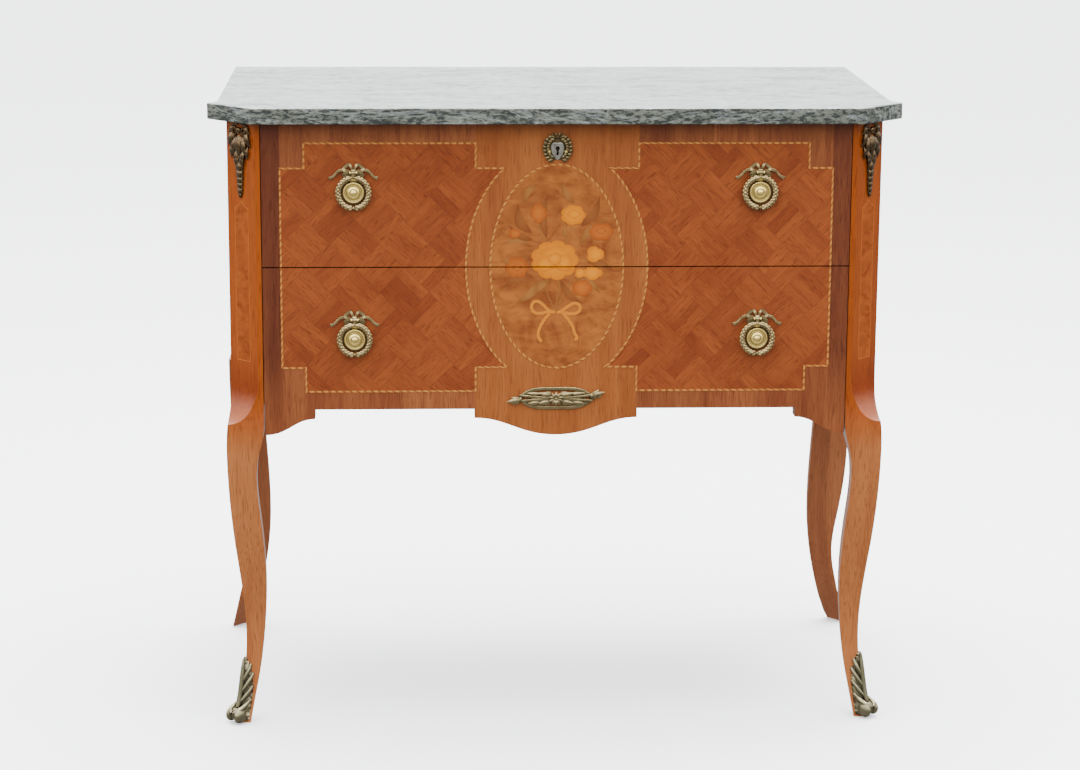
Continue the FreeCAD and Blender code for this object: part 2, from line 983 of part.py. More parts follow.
def main():
    os.makedirs("parts", exist_ok=True)

    save("marble_top", marble_top())
    front_rails = {
        "top_front_rail": front_rail(top_rail_z).cut([bolt_way(), strike_plate()]),
        "middle_front_rail": front_rail(middle_rail_z),
        "bottom_front_rail": front_rail(bottom_rail_z),
    }
    rear_rails = {
        "top_rear_rail": rear_rail(top_rail_z),
        "middle_rear_rail": rear_rail(middle_rail_z),
        "bottom_rear_rail": rear_rail(bottom_rail_z),
    }
    for name, shape in list(front_rails.items()) + list(rear_rails.items()):
        save(name, shape)
    save("strike_plate", strike_plate())

    slots = panel_slots()
    chute_pins = chute_nails()
    front = front_leg().cut(slots + list(front_rails.values()) + chute_pins)
    rear = rear_leg().cut(slots + list(rear_rails.values()))
    chute = corner_mount()
    screws = runner_screws()
    panel = side_panel().cut(screws)
    upper_tread = middle_rail_z + rail_thickness
    lower_tread = bottom_rail_z + rail_thickness
    right_hand = {
        "front_leg": front,
        "rear_leg": rear,
        "side_panel": panel,
        "upper_runner": runner(upper_tread).cut(screws),
        "lower_runner": runner(lower_tread).cut(screws),
        "kicker": kicker(),
        "corner_mount": chute,
        "sabot": sabot(),
    }
    for name, shape in right_hand.items():
        save(name + "_right", shape)
        save(name + "_left", mirrored(shape))
    save("back_panel", back_panel())
    blocks = glue_blocks()
    save("glue_blocks", *blocks, *[mirrored(b) for b in blocks])
    save("runner_screws", *screws, *[mirrored(s) for s in screws])
    save("corner_mount_nails", *chute_pins, *[mirrored(p) for p in chute_pins])

    upper_pull_z = gap_z + upper_pull_share * (case_top - gap_z)
    lower_pull_z = gap_z - lower_pull_share * (gap_z - front_bottom)
    drawers = {
        "upper": (upper_tread + slide_clearance, top_rail_z - kicker_clearance, upper_pull_z),
        "lower": (lower_tread + slide_clearance, middle_rail_z - kicker_clearance, lower_pull_z),
    }
    fronts = {
        "upper": upper_front_blank().cut(
            [keyhole(front_y - overcut, front_back + overcut)] + escutcheon_nails() + lock_screws()
        ),
        "lower": lower_front_blank().cut(apron_nails()),
    }
    plate = pull_plate()
    ring = pull_ring()
    pin = pull_pin()
    nut = pull_nut()
    for drawer, (z0, z1, pull_z) in drawers.items():
        save(drawer + "_drawer_front", fitted_front(fronts[drawer], z0, z1, pull_z))
        side = drawer_side(z0, z1)
        save(drawer + "_drawer_side_right", side)
        save(drawer + "_drawer_side_left", mirrored(side))
        save(drawer + "_drawer_back", drawer_back(z0, z1))
        save(drawer + "_drawer_bottom", drawer_bottom(z0))
        for hand, x in (("left", -pull_x), ("right", pull_x)):
            save(drawer + "_pull_plate_" + hand, moved(plate, x, front_y, pull_z))
            save(drawer + "_pull_ring_" + hand, moved(ring, x, front_y, pull_z))
        places = (-pull_x, pull_x)
        save(drawer + "_pull_pins", *[moved(pin, x, front_y, pull_z) for x in places])
        save(drawer + "_pull_nuts", *[moved(nut, x, front_y, pull_z) for x in places])

    save("lock_case", lock_case())
    save("lock_bolt", lock_bolt())
    save("lock_screws", *lock_screws())
    save("escutcheon", escutcheon())
    save("escutcheon_nails", *escutcheon_nails())
    save("apron_mount", apron_mount())
    save("apron_mount_nails", *apron_nails())


main()
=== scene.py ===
import math

import bmesh
import bpy
from mathutils import Matrix, Vector


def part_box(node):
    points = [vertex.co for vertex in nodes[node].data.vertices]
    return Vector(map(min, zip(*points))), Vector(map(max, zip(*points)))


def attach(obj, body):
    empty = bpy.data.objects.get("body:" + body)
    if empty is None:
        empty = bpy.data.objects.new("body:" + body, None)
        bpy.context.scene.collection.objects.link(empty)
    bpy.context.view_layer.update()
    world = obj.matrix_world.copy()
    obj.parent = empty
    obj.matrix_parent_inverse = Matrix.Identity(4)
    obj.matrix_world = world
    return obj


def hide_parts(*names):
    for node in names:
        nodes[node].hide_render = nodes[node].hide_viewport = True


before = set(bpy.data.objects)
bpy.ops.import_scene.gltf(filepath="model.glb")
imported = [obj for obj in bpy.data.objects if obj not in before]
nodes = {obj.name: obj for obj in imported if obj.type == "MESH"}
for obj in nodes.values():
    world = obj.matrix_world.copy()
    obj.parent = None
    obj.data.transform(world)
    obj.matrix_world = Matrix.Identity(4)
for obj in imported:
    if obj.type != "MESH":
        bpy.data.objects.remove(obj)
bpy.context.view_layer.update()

# Metres everywhere; the drawers face -Y and grain runs along Z unless a coordinate is turned
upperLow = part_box("upper_drawer_front")[0]
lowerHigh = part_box("lower_drawer_front")[1]
frontY = upperLow.y
gapZ = (upperLow.z + lowerHigh.z) / 2


# Small helpers for working in the viewport's way

def fresh():
    # Object mode with nothing selected
    if bpy.context.object and bpy.context.object.mode != "OBJECT":
        bpy.ops.object.mode_set(mode="OBJECT")
    bpy.ops.object.select_all(action="DESELECT")


def pickOnly(obj):
    fresh()
    obj.hide_set(False)
    obj.select_set(True)
    bpy.context.view_layer.objects.active = obj


def named(name):
    obj = bpy.context.object
    obj.name = name
    obj.data.name = name
    return obj


def settle(obj):
    # Object to the origin, its place into the mesh
    pickOnly(obj)
    bpy.ops.object.transform_apply(location=True, rotation=True, scale=True)
    return obj


def finishMesh(obj, angle=35):
    # Doubles merged, faces outwards, smooth except at sharp edges
    pickOnly(obj)
    bpy.ops.object.mode_set(mode="EDIT")
    bpy.ops.mesh.select_all(action="SELECT")
    bpy.ops.mesh.remove_doubles(threshold=1e-6)
    bpy.ops.mesh.normals_make_consistent(inside=False)
    bpy.ops.object.mode_set(mode="OBJECT")
    bpy.ops.object.shade_smooth_by_angle(angle=math.radians(angle))
    return obj


def joined(pieces, name):
    fresh()
    for piece in pieces:
        piece.select_set(True)
    bpy.context.view_layer.objects.active = pieces[0]
    bpy.ops.object.join()
    return named(name)


def copyOf(obj, name, turn=None):
    # A copy with its own mesh, moved by a matrix
    twin = obj.copy()
    twin.data = obj.data.copy()
    twin.name = name
    twin.data.name = name
    bpy.context.scene.collection.objects.link(twin)
    if turn is not None:
        twin.data.transform(turn)
    return twin


def discard(obj):
    bpy.data.objects.remove(obj, do_unlink=True)


def mirroredCopy(obj, name):
    twin = copyOf(obj, name, Matrix.Scale(-1, 4, (1, 0, 0)))
    twin.data.flip_normals()
    return twin


def applyModifier(obj, kind, **settings):
    pickOnly(obj)
    modifier = obj.modifiers.new(kind.title(), kind)
    for key, value in settings.items():
        setattr(modifier, key, value)
    bpy.ops.object.modifier_apply(modifier=modifier.name)


def dress(obj, material, body, slotName, *replaced):
    obj.data.materials.clear()
    obj.data.materials.append(material)
    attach(obj, body)
    if replaced:
        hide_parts(*replaced)
    return obj


# Node helpers

def addNode(tree, kind, inputs=None, **settings):
    node = tree.nodes.new(kind)
    for key, value in settings.items():
        setattr(node, key, value)
    for key, value in (inputs or {}).items():
        if isinstance(value, bpy.types.NodeSocket):
            tree.links.new(value, node.inputs[key])
        else:
            node.inputs[key].default_value = value
    return node


def mathNode(tree, operation, *values):
    return addNode(tree, "ShaderNodeMath", dict(enumerate(values)), operation=operation).outputs[0]


def vectorNode(tree, operation, *values):
    return addNode(tree, "ShaderNodeVectorMath", dict(enumerate(values)), operation=operation).outputs[0]


def mixColor(tree, factor, first, second, blend="MIX"):
    sockets = {0: factor, 6: first, 7: second}
    return addNode(tree, "ShaderNodeMix", sockets, data_type="RGBA", blend_type=blend).outputs[2]


def mixValue(tree, factor, first, second):
    sockets = {0: factor, 2: first, 3: second}
    return addNode(tree, "ShaderNodeMix", sockets, data_type="FLOAT").outputs[0]


def ranged(tree, value, low, high, toLow=0.0, toHigh=1.0):
    return addNode(
        tree, "ShaderNodeMapRange",
        {"Value": value, "From Min": low, "From Max": high, "To Min": toLow, "To Max": toHigh},
    ).outputs[0]


def noise(tree, vector, scale, detail=2.0, roughness=0.5, distortion=0.0):
    settings = {"Scale": scale, "Detail": detail, "Roughness": roughness, "Distortion": distortion}
    return addNode(tree, "ShaderNodeTexNoise", {"Vector": vector, **settings}).outputs[0]


def axesOf(tree, vector):
    return addNode(tree, "ShaderNodeSeparateXYZ", {0: vector}).outputs


def vectorOf(tree, **axes):
    return addNode(tree, "ShaderNodeCombineXYZ", axes).outputs[0]


def mapped(tree, vector, **settings):
    return addNode(tree, "ShaderNodeMapping", {"Vector": vector, **settings}).outputs[0]


def objectCoords(tree, turn=(0, 0, 0)):
    found = addNode(tree, "ShaderNodeTexCoord").outputs["Object"]
    return mapped(tree, found, Rotation=turn) if any(turn) else found


def ownCoords(tree):
    # The UV that a sheet or a line was given when it was cut
    return addNode(tree, "ShaderNodeUVMap", uv_map="UVMap").outputs[0]


def newGroup(name, takes, gives):
    # takes holds (socket name, kind, start value), gives holds (socket name, kind)
    tree = bpy.data.node_groups.new(name, "ShaderNodeTree")
    for socketName, kind, value in takes:
        made = tree.interface.new_socket(socketName, in_out="INPUT", socket_type="NodeSocket" + kind)
        if value is not None:
            made.default_value = value
    for socketName, kind in gives:
        tree.interface.new_socket(socketName, in_out="OUTPUT", socket_type="NodeSocket" + kind)
    start = tree.nodes.new("NodeGroupInput")
    end = tree.nodes.new("NodeGroupOutput")
    return tree, start.outputs, end.inputs


def useGroup(tree, group, **inputs):
    node = tree.nodes.new("ShaderNodeGroup")
    node.node_tree = group
    for key, value in inputs.items():
        socket = node.inputs[key]
        if isinstance(value, bpy.types.NodeSocket):
            tree.links.new(value, socket)
        else:
            socket.default_value = value
    return node.outputs


def newMaterial(name, **sockets):
    material = bpy.data.materials.new(name)
    material.use_nodes = True
    tree = material.node_tree
    shader = tree.nodes["Principled BSDF"]
    for key, value in sockets.items():
        shader.inputs[key.replace("_", " ")].default_value = value
    return material, tree, shader


def feed(tree, shader, **values):
    for key, value in values.items():
        tree.links.new(value, shader.inputs[key.replace("_", " ")])


def bump(tree, shader, height, strength, distance):
    made = addNode(tree, "ShaderNodeBump", {"Height": height, "Strength": strength, "Distance": distance})
    feed(tree, shader, Normal=made.outputs[0])


# Shared effects

def makeWoodGrain():
    # Long fibres, broad bands and short dark pores along Z
    tree, take, give = newGroup(
        "woodGrain",
        [("Vector", "Vector", None),
         ("Pale", "Color", (0.5, 0.2, 0.05, 1)), ("Deep", "Color", (0.2, 0.05, 0.01, 1)),
         ("Bands", "Float", 40.0), ("Fibres", "Float", 500.0),
         ("Stretch", "Float", 0.06), ("Pores", "Float", 0.5)],
        [("Color", "Color"), ("Height", "Float"), ("Roughness", "Float")],
    )
    drift = addNode(tree, "ShaderNodeTexNoise", {"Vector": take["Vector"], "Scale": 7.0, "Detail": 1.0})
    wander = vectorNode(tree, "SUBTRACT", drift.outputs[1], (0.5, 0.5, 0.5))
    wander = vectorNode(tree, "MULTIPLY", wander, (0.012, 0.012, 0.0))
    place = vectorNode(tree, "ADD", take["Vector"], wander)
    along = vectorOf(tree, X=1.0, Y=1.0, Z=take["Stretch"])
    place = vectorNode(tree, "MULTIPLY", place, along)
    bands = noise(tree, place, take["Bands"], 3.0, 0.55, 0.4)
    fibres = noise(tree, place, take["Fibres"], 2.0, 0.6)
    pores = noise(tree, place, mathNode(tree, "MULTIPLY", take["Fibres"], 1.7), 0.0)
    pores = ranged(tree, pores, 0.62, 0.72)
    tone = ranged(tree, bands, 0.3, 0.7, 0.0, 0.72)
    tone = mathNode(tree, "ADD", tone, ranged(tree, fibres, 0.3, 0.7, -0.08, 0.3))
    color = mixColor(tree, tone, take["Deep"], take["Pale"])
    poreMask = mathNode(tree, "MULTIPLY", pores, take["Pores"])
    color = mixColor(tree, poreMask, color, (0.05, 0.012, 0.004, 1))
    height = mathNode(tree, "SUBTRACT", fibres, mathNode(tree, "MULTIPLY", poreMask, 0.8))
    tree.links.new(color, give["Color"])
    tree.links.new(height, give["Height"])
    tree.links.new(ranged(tree, bands, 0.2, 0.8, 0.05, -0.05), give["Roughness"])
    return tree


def makeBasketWeave():
    # Square blocks of three strips, laid at 45 degrees and every other one turned
    count = 3.0
    tree, take, give = newGroup(
        "basketWeave",
        [("Vector", "Vector", None), ("Width", "Float", 0.015)],
        [("Grain", "Vector"), ("Tone", "Float"), ("Joint", "Float")],
    )
    place = axesOf(tree, take["Vector"])
    unit = mathNode(tree, "MULTIPLY", take["Width"], count * math.sqrt(2))
    rising = mathNode(tree, "DIVIDE", mathNode(tree, "ADD", place["X"], place["Z"]), unit)
    falling = mathNode(tree, "DIVIDE", mathNode(tree, "SUBTRACT", place["Z"], place["X"]), unit)
    rising = mathNode(tree, "ADD", rising, 0.5)
    falling = mathNode(tree, "ADD", falling, 0.5)
    column = mathNode(tree, "FLOOR", rising)
    row = mathNode(tree, "FLOOR", falling)
    turned = mathNode(tree, "FLOORED_MODULO", mathNode(tree, "ADD", column, row), 2.0)
    inColumn = mathNode(tree, "MULTIPLY", mathNode(tree, "SUBTRACT", rising, column), count)
    inRow = mathNode(tree, "MULTIPLY", mathNode(tree, "SUBTRACT", falling, row), count)
    along = mixValue(tree, turned, inColumn, inRow)
    sideways = mixValue(tree, turned, inRow, inColumn)
    strip = mathNode(tree, "FLOOR", sideways)
    across = mathNode(tree, "SUBTRACT", sideways, strip)
    key = vectorOf(tree, X=column, Y=row, Z=strip)
    tone = addNode(tree, "ShaderNodeTexWhiteNoise", {"Vector": key}, noise_dimensions="3D").outputs[0]
    side = mathNode(tree, "MINIMUM", across, mathNode(tree, "SUBTRACT", 1.0, across))
    end = mathNode(tree, "MINIMUM", along, mathNode(tree, "SUBTRACT", count, along))
    edge = mathNode(tree, "MULTIPLY", mathNode(tree, "MINIMUM", side, end), take["Width"])
    grain = vectorOf(
        tree, X=mathNode(tree, "MULTIPLY", across, take["Width"]), Y=mathNode(tree, "MULTIPLY", tone, 3.0),
        Z=mathNode(tree, "MULTIPLY", along, take["Width"]),
    )
    tree.links.new(grain, give["Grain"])
    tree.links.new(tone, give["Tone"])
    tree.links.new(ranged(tree, edge, 0.00012, 0.0004, 1.0, 0.0), give["Joint"])
    return tree


def makePatina():
    # Slow cloud and fine pitting that dull a metal
    tree, take, give = newGroup(
        "patina",
        [("Vector", "Vector", None), ("Clouds", "Float", 160.0), ("Pits", "Float", 900.0)],
        [("Cloud", "Float"), ("Pit", "Float")],
    )
    cloud = noise(tree, take["Vector"], take["Clouds"], 4.0, 0.6, 0.3)
    pit = noise(tree, take["Vector"], take["Pits"], 2.0, 0.6)
    tree.links.new(ranged(tree, cloud, 0.35, 0.68), give["Cloud"])
    tree.links.new(pit, give["Pit"])
    return tree


woodGrain = makeWoodGrain()
basketWeave = makeBasketWeave()
patina = makePatina()
print("shared effects ready")


# Finishes

# Heights on the front legs: where the posts' stain begins, and the head of each scoop, which gets painted
# shade
kneeSpan = (0.338, 0.384)
scoop = {"low": (0.386, 0.410), "high": (0.418, 0.462), "paintedShade": (0.68, 0.52, 0.45, 1)}
woodShine = 0.14


def plainWood(
    name, pale, deep, turn=(0, 0, 0), bands=40.0, fibres=500.0, stretch=0.06, pores=0.5,
    gloss=0.4, upper=None, shine=woodShine,
):
    # upper is a stain for what lies above the knees; the head of each scoop on the canted faces is darkened
    # further as painted shade
    material, tree, shader = newMaterial(name, Specular_IOR_Level=shine)
    place = objectCoords(tree, turn)
    grain = useGroup(
        tree, woodGrain, Vector=place, Pale=pale, Deep=deep,
        Bands=bands, Fibres=fibres, Stretch=stretch, Pores=pores,
    )
    color = grain["Color"]
    if upper:
        height = axesOf(tree, place)["Z"]
        stained = mixColor(tree, 1.0, color, upper, "MULTIPLY")
        color = mixColor(tree, ranged(tree, height, *kneeSpan), color, stained)
        normal = addNode(tree, "ShaderNodeNewGeometry").outputs["Normal"]
        sideways = axesOf(tree, normal)["X"]
        canted = ranged(tree, mathNode(tree, "ABSOLUTE", sideways), 0.3, 0.5)
        # Painted shade in the hollow head of each scoop, on the canted faces only
        foot = ranged(tree, height, *scoop["low"])
        crown = ranged(tree, height, *scoop["high"], 1.0, 0.0)
        scoopShade = mathNode(tree, "MULTIPLY", mathNode(tree, "MULTIPLY", foot, crown), canted)
        scoopShaded = mixColor(tree, 1.0, color, scoop["paintedShade"], "MULTIPLY")
        color = mixColor(tree, scoopShade, color, scoopShaded)
    feed(tree, shader, Base_Color=color, Roughness=mathNode(tree, "ADD", grain["Roughness"], gloss))
    bump(tree, shader, grain["Height"], 0.12, 0.0006)
    return material


centreColors = {"pale": (0.27, 0.085, 0.02, 1), "deep": (0.178, 0.045, 0.0095, 1)}
bandColors = {
    "pale": (0.265, 0.087, 0.027, 1), "deep": (0.127, 0.028, 0.01, 1), "dark": (0.075, 0.018, 0.006, 1),
    "outerStain": (0.56, 0.5, 0.6, 1),
}
bandWidth = {"leaf": 0.046, "centreHalf": 0.096, "panelHalf": 0.325, "fade": (0.37, 0.46)}


def frontVeneer():
    # Banding of narrow upright leaves, redder than the plain field between the panels
    material, tree, shader = newMaterial("frontVeneer", Specular_IOR_Level=woodShine)
    place = objectCoords(tree)
    parts = axesOf(tree, place)
    x = parts["X"]
    leaf = mathNode(tree, "FLOOR", mathNode(tree, "DIVIDE", x, bandWidth["leaf"]))
    tone = addNode(tree, "ShaderNodeTexWhiteNoise", {"W": leaf}, noise_dimensions="1D").outputs[0]
    shift = vectorOf(tree, Y=tone, Z=tone)
    band = useGroup(
        tree, woodGrain, Vector=vectorNode(tree, "ADD", place, shift), Pale=bandColors["pale"],
        Deep=bandColors["deep"], Bands=46.0, Fibres=620.0, Stretch=0.05, Pores=0.5,
    )
    centre = useGroup(
        tree, woodGrain, Vector=place, Pale=centreColors["pale"], Deep=centreColors["deep"],
        Bands=42.0, Fibres=560.0, Stretch=0.05, Pores=0.35,
    )
    toned = mixColor(tree, ranged(tree, tone, 0.0, 1.0, 0.0, 0.4), band["Color"], bandColors["dark"])
    fromCentre = mathNode(tree, "ABSOLUTE", x)
    outside = mathNode(tree, "GREATER_THAN", fromCentre, bandWidth["panelHalf"])
    outside = mathNode(tree, "MULTIPLY", outside, ranged(tree, parts["Z"], *bandWidth["fade"]))
    toned = mixColor(tree, outside, toned, mixColor(tree, 1.0, toned, bandColors["outerStain"], "MULTIPLY"))
    inside = mathNode(tree, "LESS_THAN", fromCentre, bandWidth["centreHalf"])
    color = mixColor(tree, inside, toned, centre["Color"])
    feed(tree, shader, Base_Color=color, Roughness=mathNode(tree, "ADD", band["Roughness"], 0.36))
    bump(tree, shader, mixValue(tree, inside, band["Height"], centre["Height"]), 0.1, 0.0005)
    return material


# "middle" is where a rising block lies: how far from the chest's centre line, and how high
parquet = {
    "width": 0.01367, "middle": (0.035, 0.041), "pale": (0.25, 0.063, 0.0155, 1),
    "deep": (0.178, 0.040, 0.0108, 1), "dark": (0.1, 0.016, 0.005, 1), "joint": (0.05, 0.012, 0.006, 1),
}


def parquetVeneer():
    material, tree, shader = newMaterial("parquetVeneer", Specular_IOR_Level=woodShine)
    place = objectCoords(tree)
    fromCentre, height = parquet["middle"]
    axes = axesOf(tree, place)
    hand = mathNode(tree, "SIGN", axes["X"])
    sideways = mathNode(tree, "SUBTRACT", axes["X"], mathNode(tree, "MULTIPLY", hand, fromCentre))
    upward = mathNode(tree, "SUBTRACT", axes["Z"], height)
    laid = vectorOf(tree, X=sideways, Z=upward)
    strips = useGroup(tree, basketWeave, Vector=laid, Width=parquet["width"])
    grain = useGroup(
        tree, woodGrain, Vector=strips["Grain"], Pale=parquet["pale"], Deep=parquet["deep"],
        Bands=120.0, Fibres=700.0, Stretch=0.08, Pores=0.55,
    )
    shade = mathNode(tree, "MULTIPLY", mathNode(tree, "POWER", strips["Tone"], 2.0), 0.44)
    shade = mathNode(tree, "ADD", shade, 0.08)
    patches = ranged(tree, noise(tree, place, 14.0, 3.0, 0.6), 0.5, 0.75, 0.0, 0.35)
    shade = mathNode(tree, "ADD", shade, patches)
    color = mixColor(tree, shade, grain["Color"], parquet["dark"])
    color = mixColor(tree, mathNode(tree, "MULTIPLY", strips["Joint"], 0.38), color, parquet["joint"])
    dull = mathNode(tree, "ADD", grain["Roughness"], ranged(tree, strips["Tone"], 0.0, 1.0, 0.2, 0.3))
    feed(tree, shader, Base_Color=color, Roughness=dull)
    bump(tree, shader, mathNode(tree, "SUBTRACT", grain["Height"], strips["Joint"]), 0.12, 0.0005)
    return material


def burrVeneer(name, pale, deep, scale=1.0):
    # Clouded burr with swirls and small dark eyes
    material, tree, shader = newMaterial(name, Specular_IOR_Level=woodShine)
    place = objectCoords(tree)
    swirl = noise(tree, place, 22.0 * scale, 4.0, 0.58, 2.4)
    streak = noise(tree, mapped(tree, place, Scale=(1, 1, 2.6)), 30.0 * scale, 3.0, 0.55, 1.0)
    cloud = ranged(tree, swirl, 0.36, 0.62, 0.0, 0.55)
    tone = mathNode(tree, "ADD", cloud, ranged(tree, streak, 0.38, 0.64, 0.0, 0.5))
    eyes = addNode(tree, "ShaderNodeTexVoronoi", {"Vector": place, "Scale": 150.0 * scale})
    eyes = ranged(tree, eyes.outputs["Distance"], 0.05, 0.22, 1.0, 0.0)
    eyes = mathNode(tree, "MULTIPLY", eyes, ranged(tree, swirl, 0.5, 0.62))
    color = mixColor(tree, tone, deep, pale)
    color = mixColor(tree, mathNode(tree, "MULTIPLY", eyes, 0.5), color, (0.1, 0.025, 0.008, 1))
    feed(tree, shader, Base_Color=color, Roughness=ranged(tree, swirl, 0.2, 0.8, 0.24, 0.34))
    bump(tree, shader, streak, 0.08, 0.0005)
    return material


def petalVeneer(name, middle, rim):
    # Sand-shaded inlay: darker towards the rim of each leaf or petal
    material, tree, shader = newMaterial(name, Specular_IOR_Level=woodShine)
    own = ownCoords(tree)
    reach = addNode(tree, "ShaderNodeVectorMath", {0: own}, operation="LENGTH").outputs["Value"]
    fibres = noise(tree, mapped(tree, objectCoords(tree), Scale=(1, 1, 0.12)), 700.0, 2.0, 0.6)
    shade = mathNode(tree, "ADD", ranged(tree, reach, 0.3, 1.0), ranged(tree, fibres, 0.3, 0.7, -0.22, 0.22))
    color = mixColor(tree, shade, middle, rim)
    feed(tree, shader, Base_Color=color, Roughness=ranged(tree, fibres, 0.2, 0.8, 0.24, 0.32))
    bump(tree, shader, fibres, 0.08, 0.0004)
    return material


stringing = {"pitch": 0.0085, "lean": 0.35, "light": (0.4, 0.165, 0.036, 1), "dark": (0.2, 0.06, 0.013, 1)}


def stringVeneer():
    # Light and dark dashes along the line, read from the line's own UV
    material, tree, shader = newMaterial("stringVeneer", Specular_IOR_Level=woodShine)
    own = ownCoords(tree)
    parts = axesOf(tree, own)
    run = mathNode(tree, "DIVIDE", parts["X"], stringing["pitch"])
    run = mathNode(tree, "ADD", run, mathNode(tree, "MULTIPLY", parts["Y"], stringing["lean"]))
    dash = mathNode(tree, "FRACT", run)
    fromMiddle = mathNode(tree, "ABSOLUTE", mathNode(tree, "SUBTRACT", dash, 0.5))
    light = ranged(tree, fromMiddle, 0.27, 0.33, 1.0, 0.0)
    worn = noise(tree, objectCoords(tree), 300.0, 3.0, 0.6)
    color = mixColor(tree, light, stringing["dark"], stringing["light"])
    color = mixColor(tree, ranged(tree, worn, 0.4, 0.75, 0.0, 0.45), color, stringing["dark"])
    feed(tree, shader, Base_Color=color, Roughness=ranged(tree, worn, 0.2, 0.8, 0.24, 0.34))
    return material


stone = {
    "deep": (0.019, 0.022, 0.016, 1), "pale": (0.108, 0.116, 0.092, 1), "grain": (0.215, 0.222, 0.182, 1),
    "streak": (0.01, 0.013, 0.012, 1), "vein": (0.36, 0.39, 0.37, 1), "paintedTopSheen": (0.245, 0.286, 0.27, 1),
}


def marbleStone():
    # Grey-green stone with pale clouds and dark streaks, polished on top and dull at the sawn edge; the top
    # is lightened with a painted sheen
    material, tree, shader = newMaterial(
        "marbleStone", Coat_Roughness=0.12, Coat_IOR=1.65, Specular_IOR_Level=0.25,
    )
    place = objectCoords(tree)
    flat = mapped(tree, place, Scale=(0.4, 0.4, 1.0))
    lying = mapped(tree, place, Rotation=(0, 0, 0.12), Scale=(0.45, 1.0, 1.9))
    cloud = noise(tree, lying, 26.0, 6.0, 0.62, 0.6)
    mottle = noise(tree, place, 70.0, 5.0, 0.68, 0.5)
    grain = noise(tree, place, 420.0, 4.0, 0.7)
    streak = noise(tree, flat, 290.0, 5.0, 0.66, 0.5)
    vein = noise(tree, lying, 9.0, 8.0, 0.62, 2.0)
    normal = addNode(tree, "ShaderNodeNewGeometry").outputs["Normal"]
    top = ranged(tree, axesOf(tree, normal)["Z"], 0.4, 0.9)
    color = mixColor(tree, ranged(tree, cloud, 0.32, 0.68), stone["deep"], stone["pale"])
    color = mixColor(tree, ranged(tree, grain, 0.35, 0.75, 0.0, 0.5), color, stone["grain"])
    strength = ranged(tree, top, 0.0, 1.0, 0.92, 0.45)
    dark = mathNode(tree, "MULTIPLY", ranged(tree, streak, 0.45, 0.55), strength)
    color = mixColor(tree, dark, color, stone["streak"])
    line = mathNode(tree, "ABSOLUTE", mathNode(tree, "SUBTRACT", vein, 0.5))
    color = mixColor(tree, ranged(tree, line, 0.0, 0.02, 0.35, 0.0), color, stone["vein"])
    clouded = mathNode(tree, "MULTIPLY", cloud, 0.45)
    clouded = mathNode(tree, "ADD", clouded, mathNode(tree, "MULTIPLY", mottle, 0.55))
    pale = ranged(tree, clouded, 0.4, 0.6)
    # Painted sheen: the top faces, where the stone is pale, are lightened
    paintedTopSheen = mathNode(tree, "MULTIPLY", top, ranged(tree, pale, 0.0, 1.0, 0.1, 0.95))
    color = mixColor(tree, paintedTopSheen, color, stone["paintedTopSheen"])
    dull = ranged(tree, top, 0.0, 1.0, 0.55, 0.2)
    dull = mathNode(tree, "ADD", dull, ranged(tree, grain, 0.0, 1.0, -0.06, 0.06))
    wax = mathNode(tree, "MULTIPLY", top, ranged(tree, pale, 0.0, 1.0, 0.05, 1.0))
    feed(tree, shader, Base_Color=color, Roughness=dull, Coat_Weight=wax)
    rough = mathNode(tree, "ADD", grain, streak)
    rough = mathNode(tree, "MULTIPLY", rough, ranged(tree, top, 0.0, 1.0, 1.0, 0.04))
    bump(tree, shader, rough, 0.35, 0.001)
    return material


def agedBrass(name, bright, tarnish, patinaAndShadeColor, cavity=0.003, polish=(0.24, 0.4), clouds=170.0):
    # Tarnish in clouds, and dark patina with painted shade in hollows no wider than the cavity
    material, tree, shader = newMaterial(name, Metallic=1.0)
    place = objectCoords(tree)
    old = useGroup(tree, patina, Vector=place, Clouds=clouds, Pits=1100.0)
    hollow = addNode(tree, "ShaderNodeAmbientOcclusion", {"Distance": cavity}, samples=8).outputs["AO"]
    # Painted shade and patina: hollows found by occlusion are darkened
    patinaAndShade = ranged(tree, hollow, 0.45, 0.95, 0.95, 0.0)
    color = mixColor(tree, mathNode(tree, "MULTIPLY", old["Cloud"], 0.75), bright, tarnish)
    color = mixColor(tree, patinaAndShade, color, patinaAndShadeColor)
    dull = ranged(tree, old["Cloud"], 0.0, 1.0, *polish)
    dull = mathNode(tree, "ADD", dull, mathNode(tree, "MULTIPLY", patinaAndShade, 0.25))
    feed(tree, shader, Base_Color=color, Roughness=dull)
    bump(tree, shader, old["Pit"], 0.15, 0.0004)
    return material


def dullSteel():
    material, tree, shader = newMaterial("dullSteel", Metallic=1.0)
    old = useGroup(tree, patina, Vector=objectCoords(tree), Clouds=90.0, Pits=700.0)
    color = mixColor(tree, old["Cloud"], (0.45, 0.44, 0.42, 1), (0.24, 0.22, 0.2, 1))
    feed(tree, shader, Base_Color=color, Roughness=ranged(tree, old["Cloud"], 0.0, 1.0, 0.32, 0.55))
    bump(tree, shader, old["Pit"], 0.1, 0.0003)
    return material


quarter = math.pi / 2
alongX = (0, quarter, 0)
alongY = (quarter, 0, 0)
legWood = plainWood(
    "legWood", (0.335, 0.118, 0.036, 1), (0.21, 0.061, 0.016, 1),
    bands=34.0, stretch=0.05, pores=0.35, gloss=0.2, upper=(0.76, 0.45, 0.1, 1), shine=0.2,
)
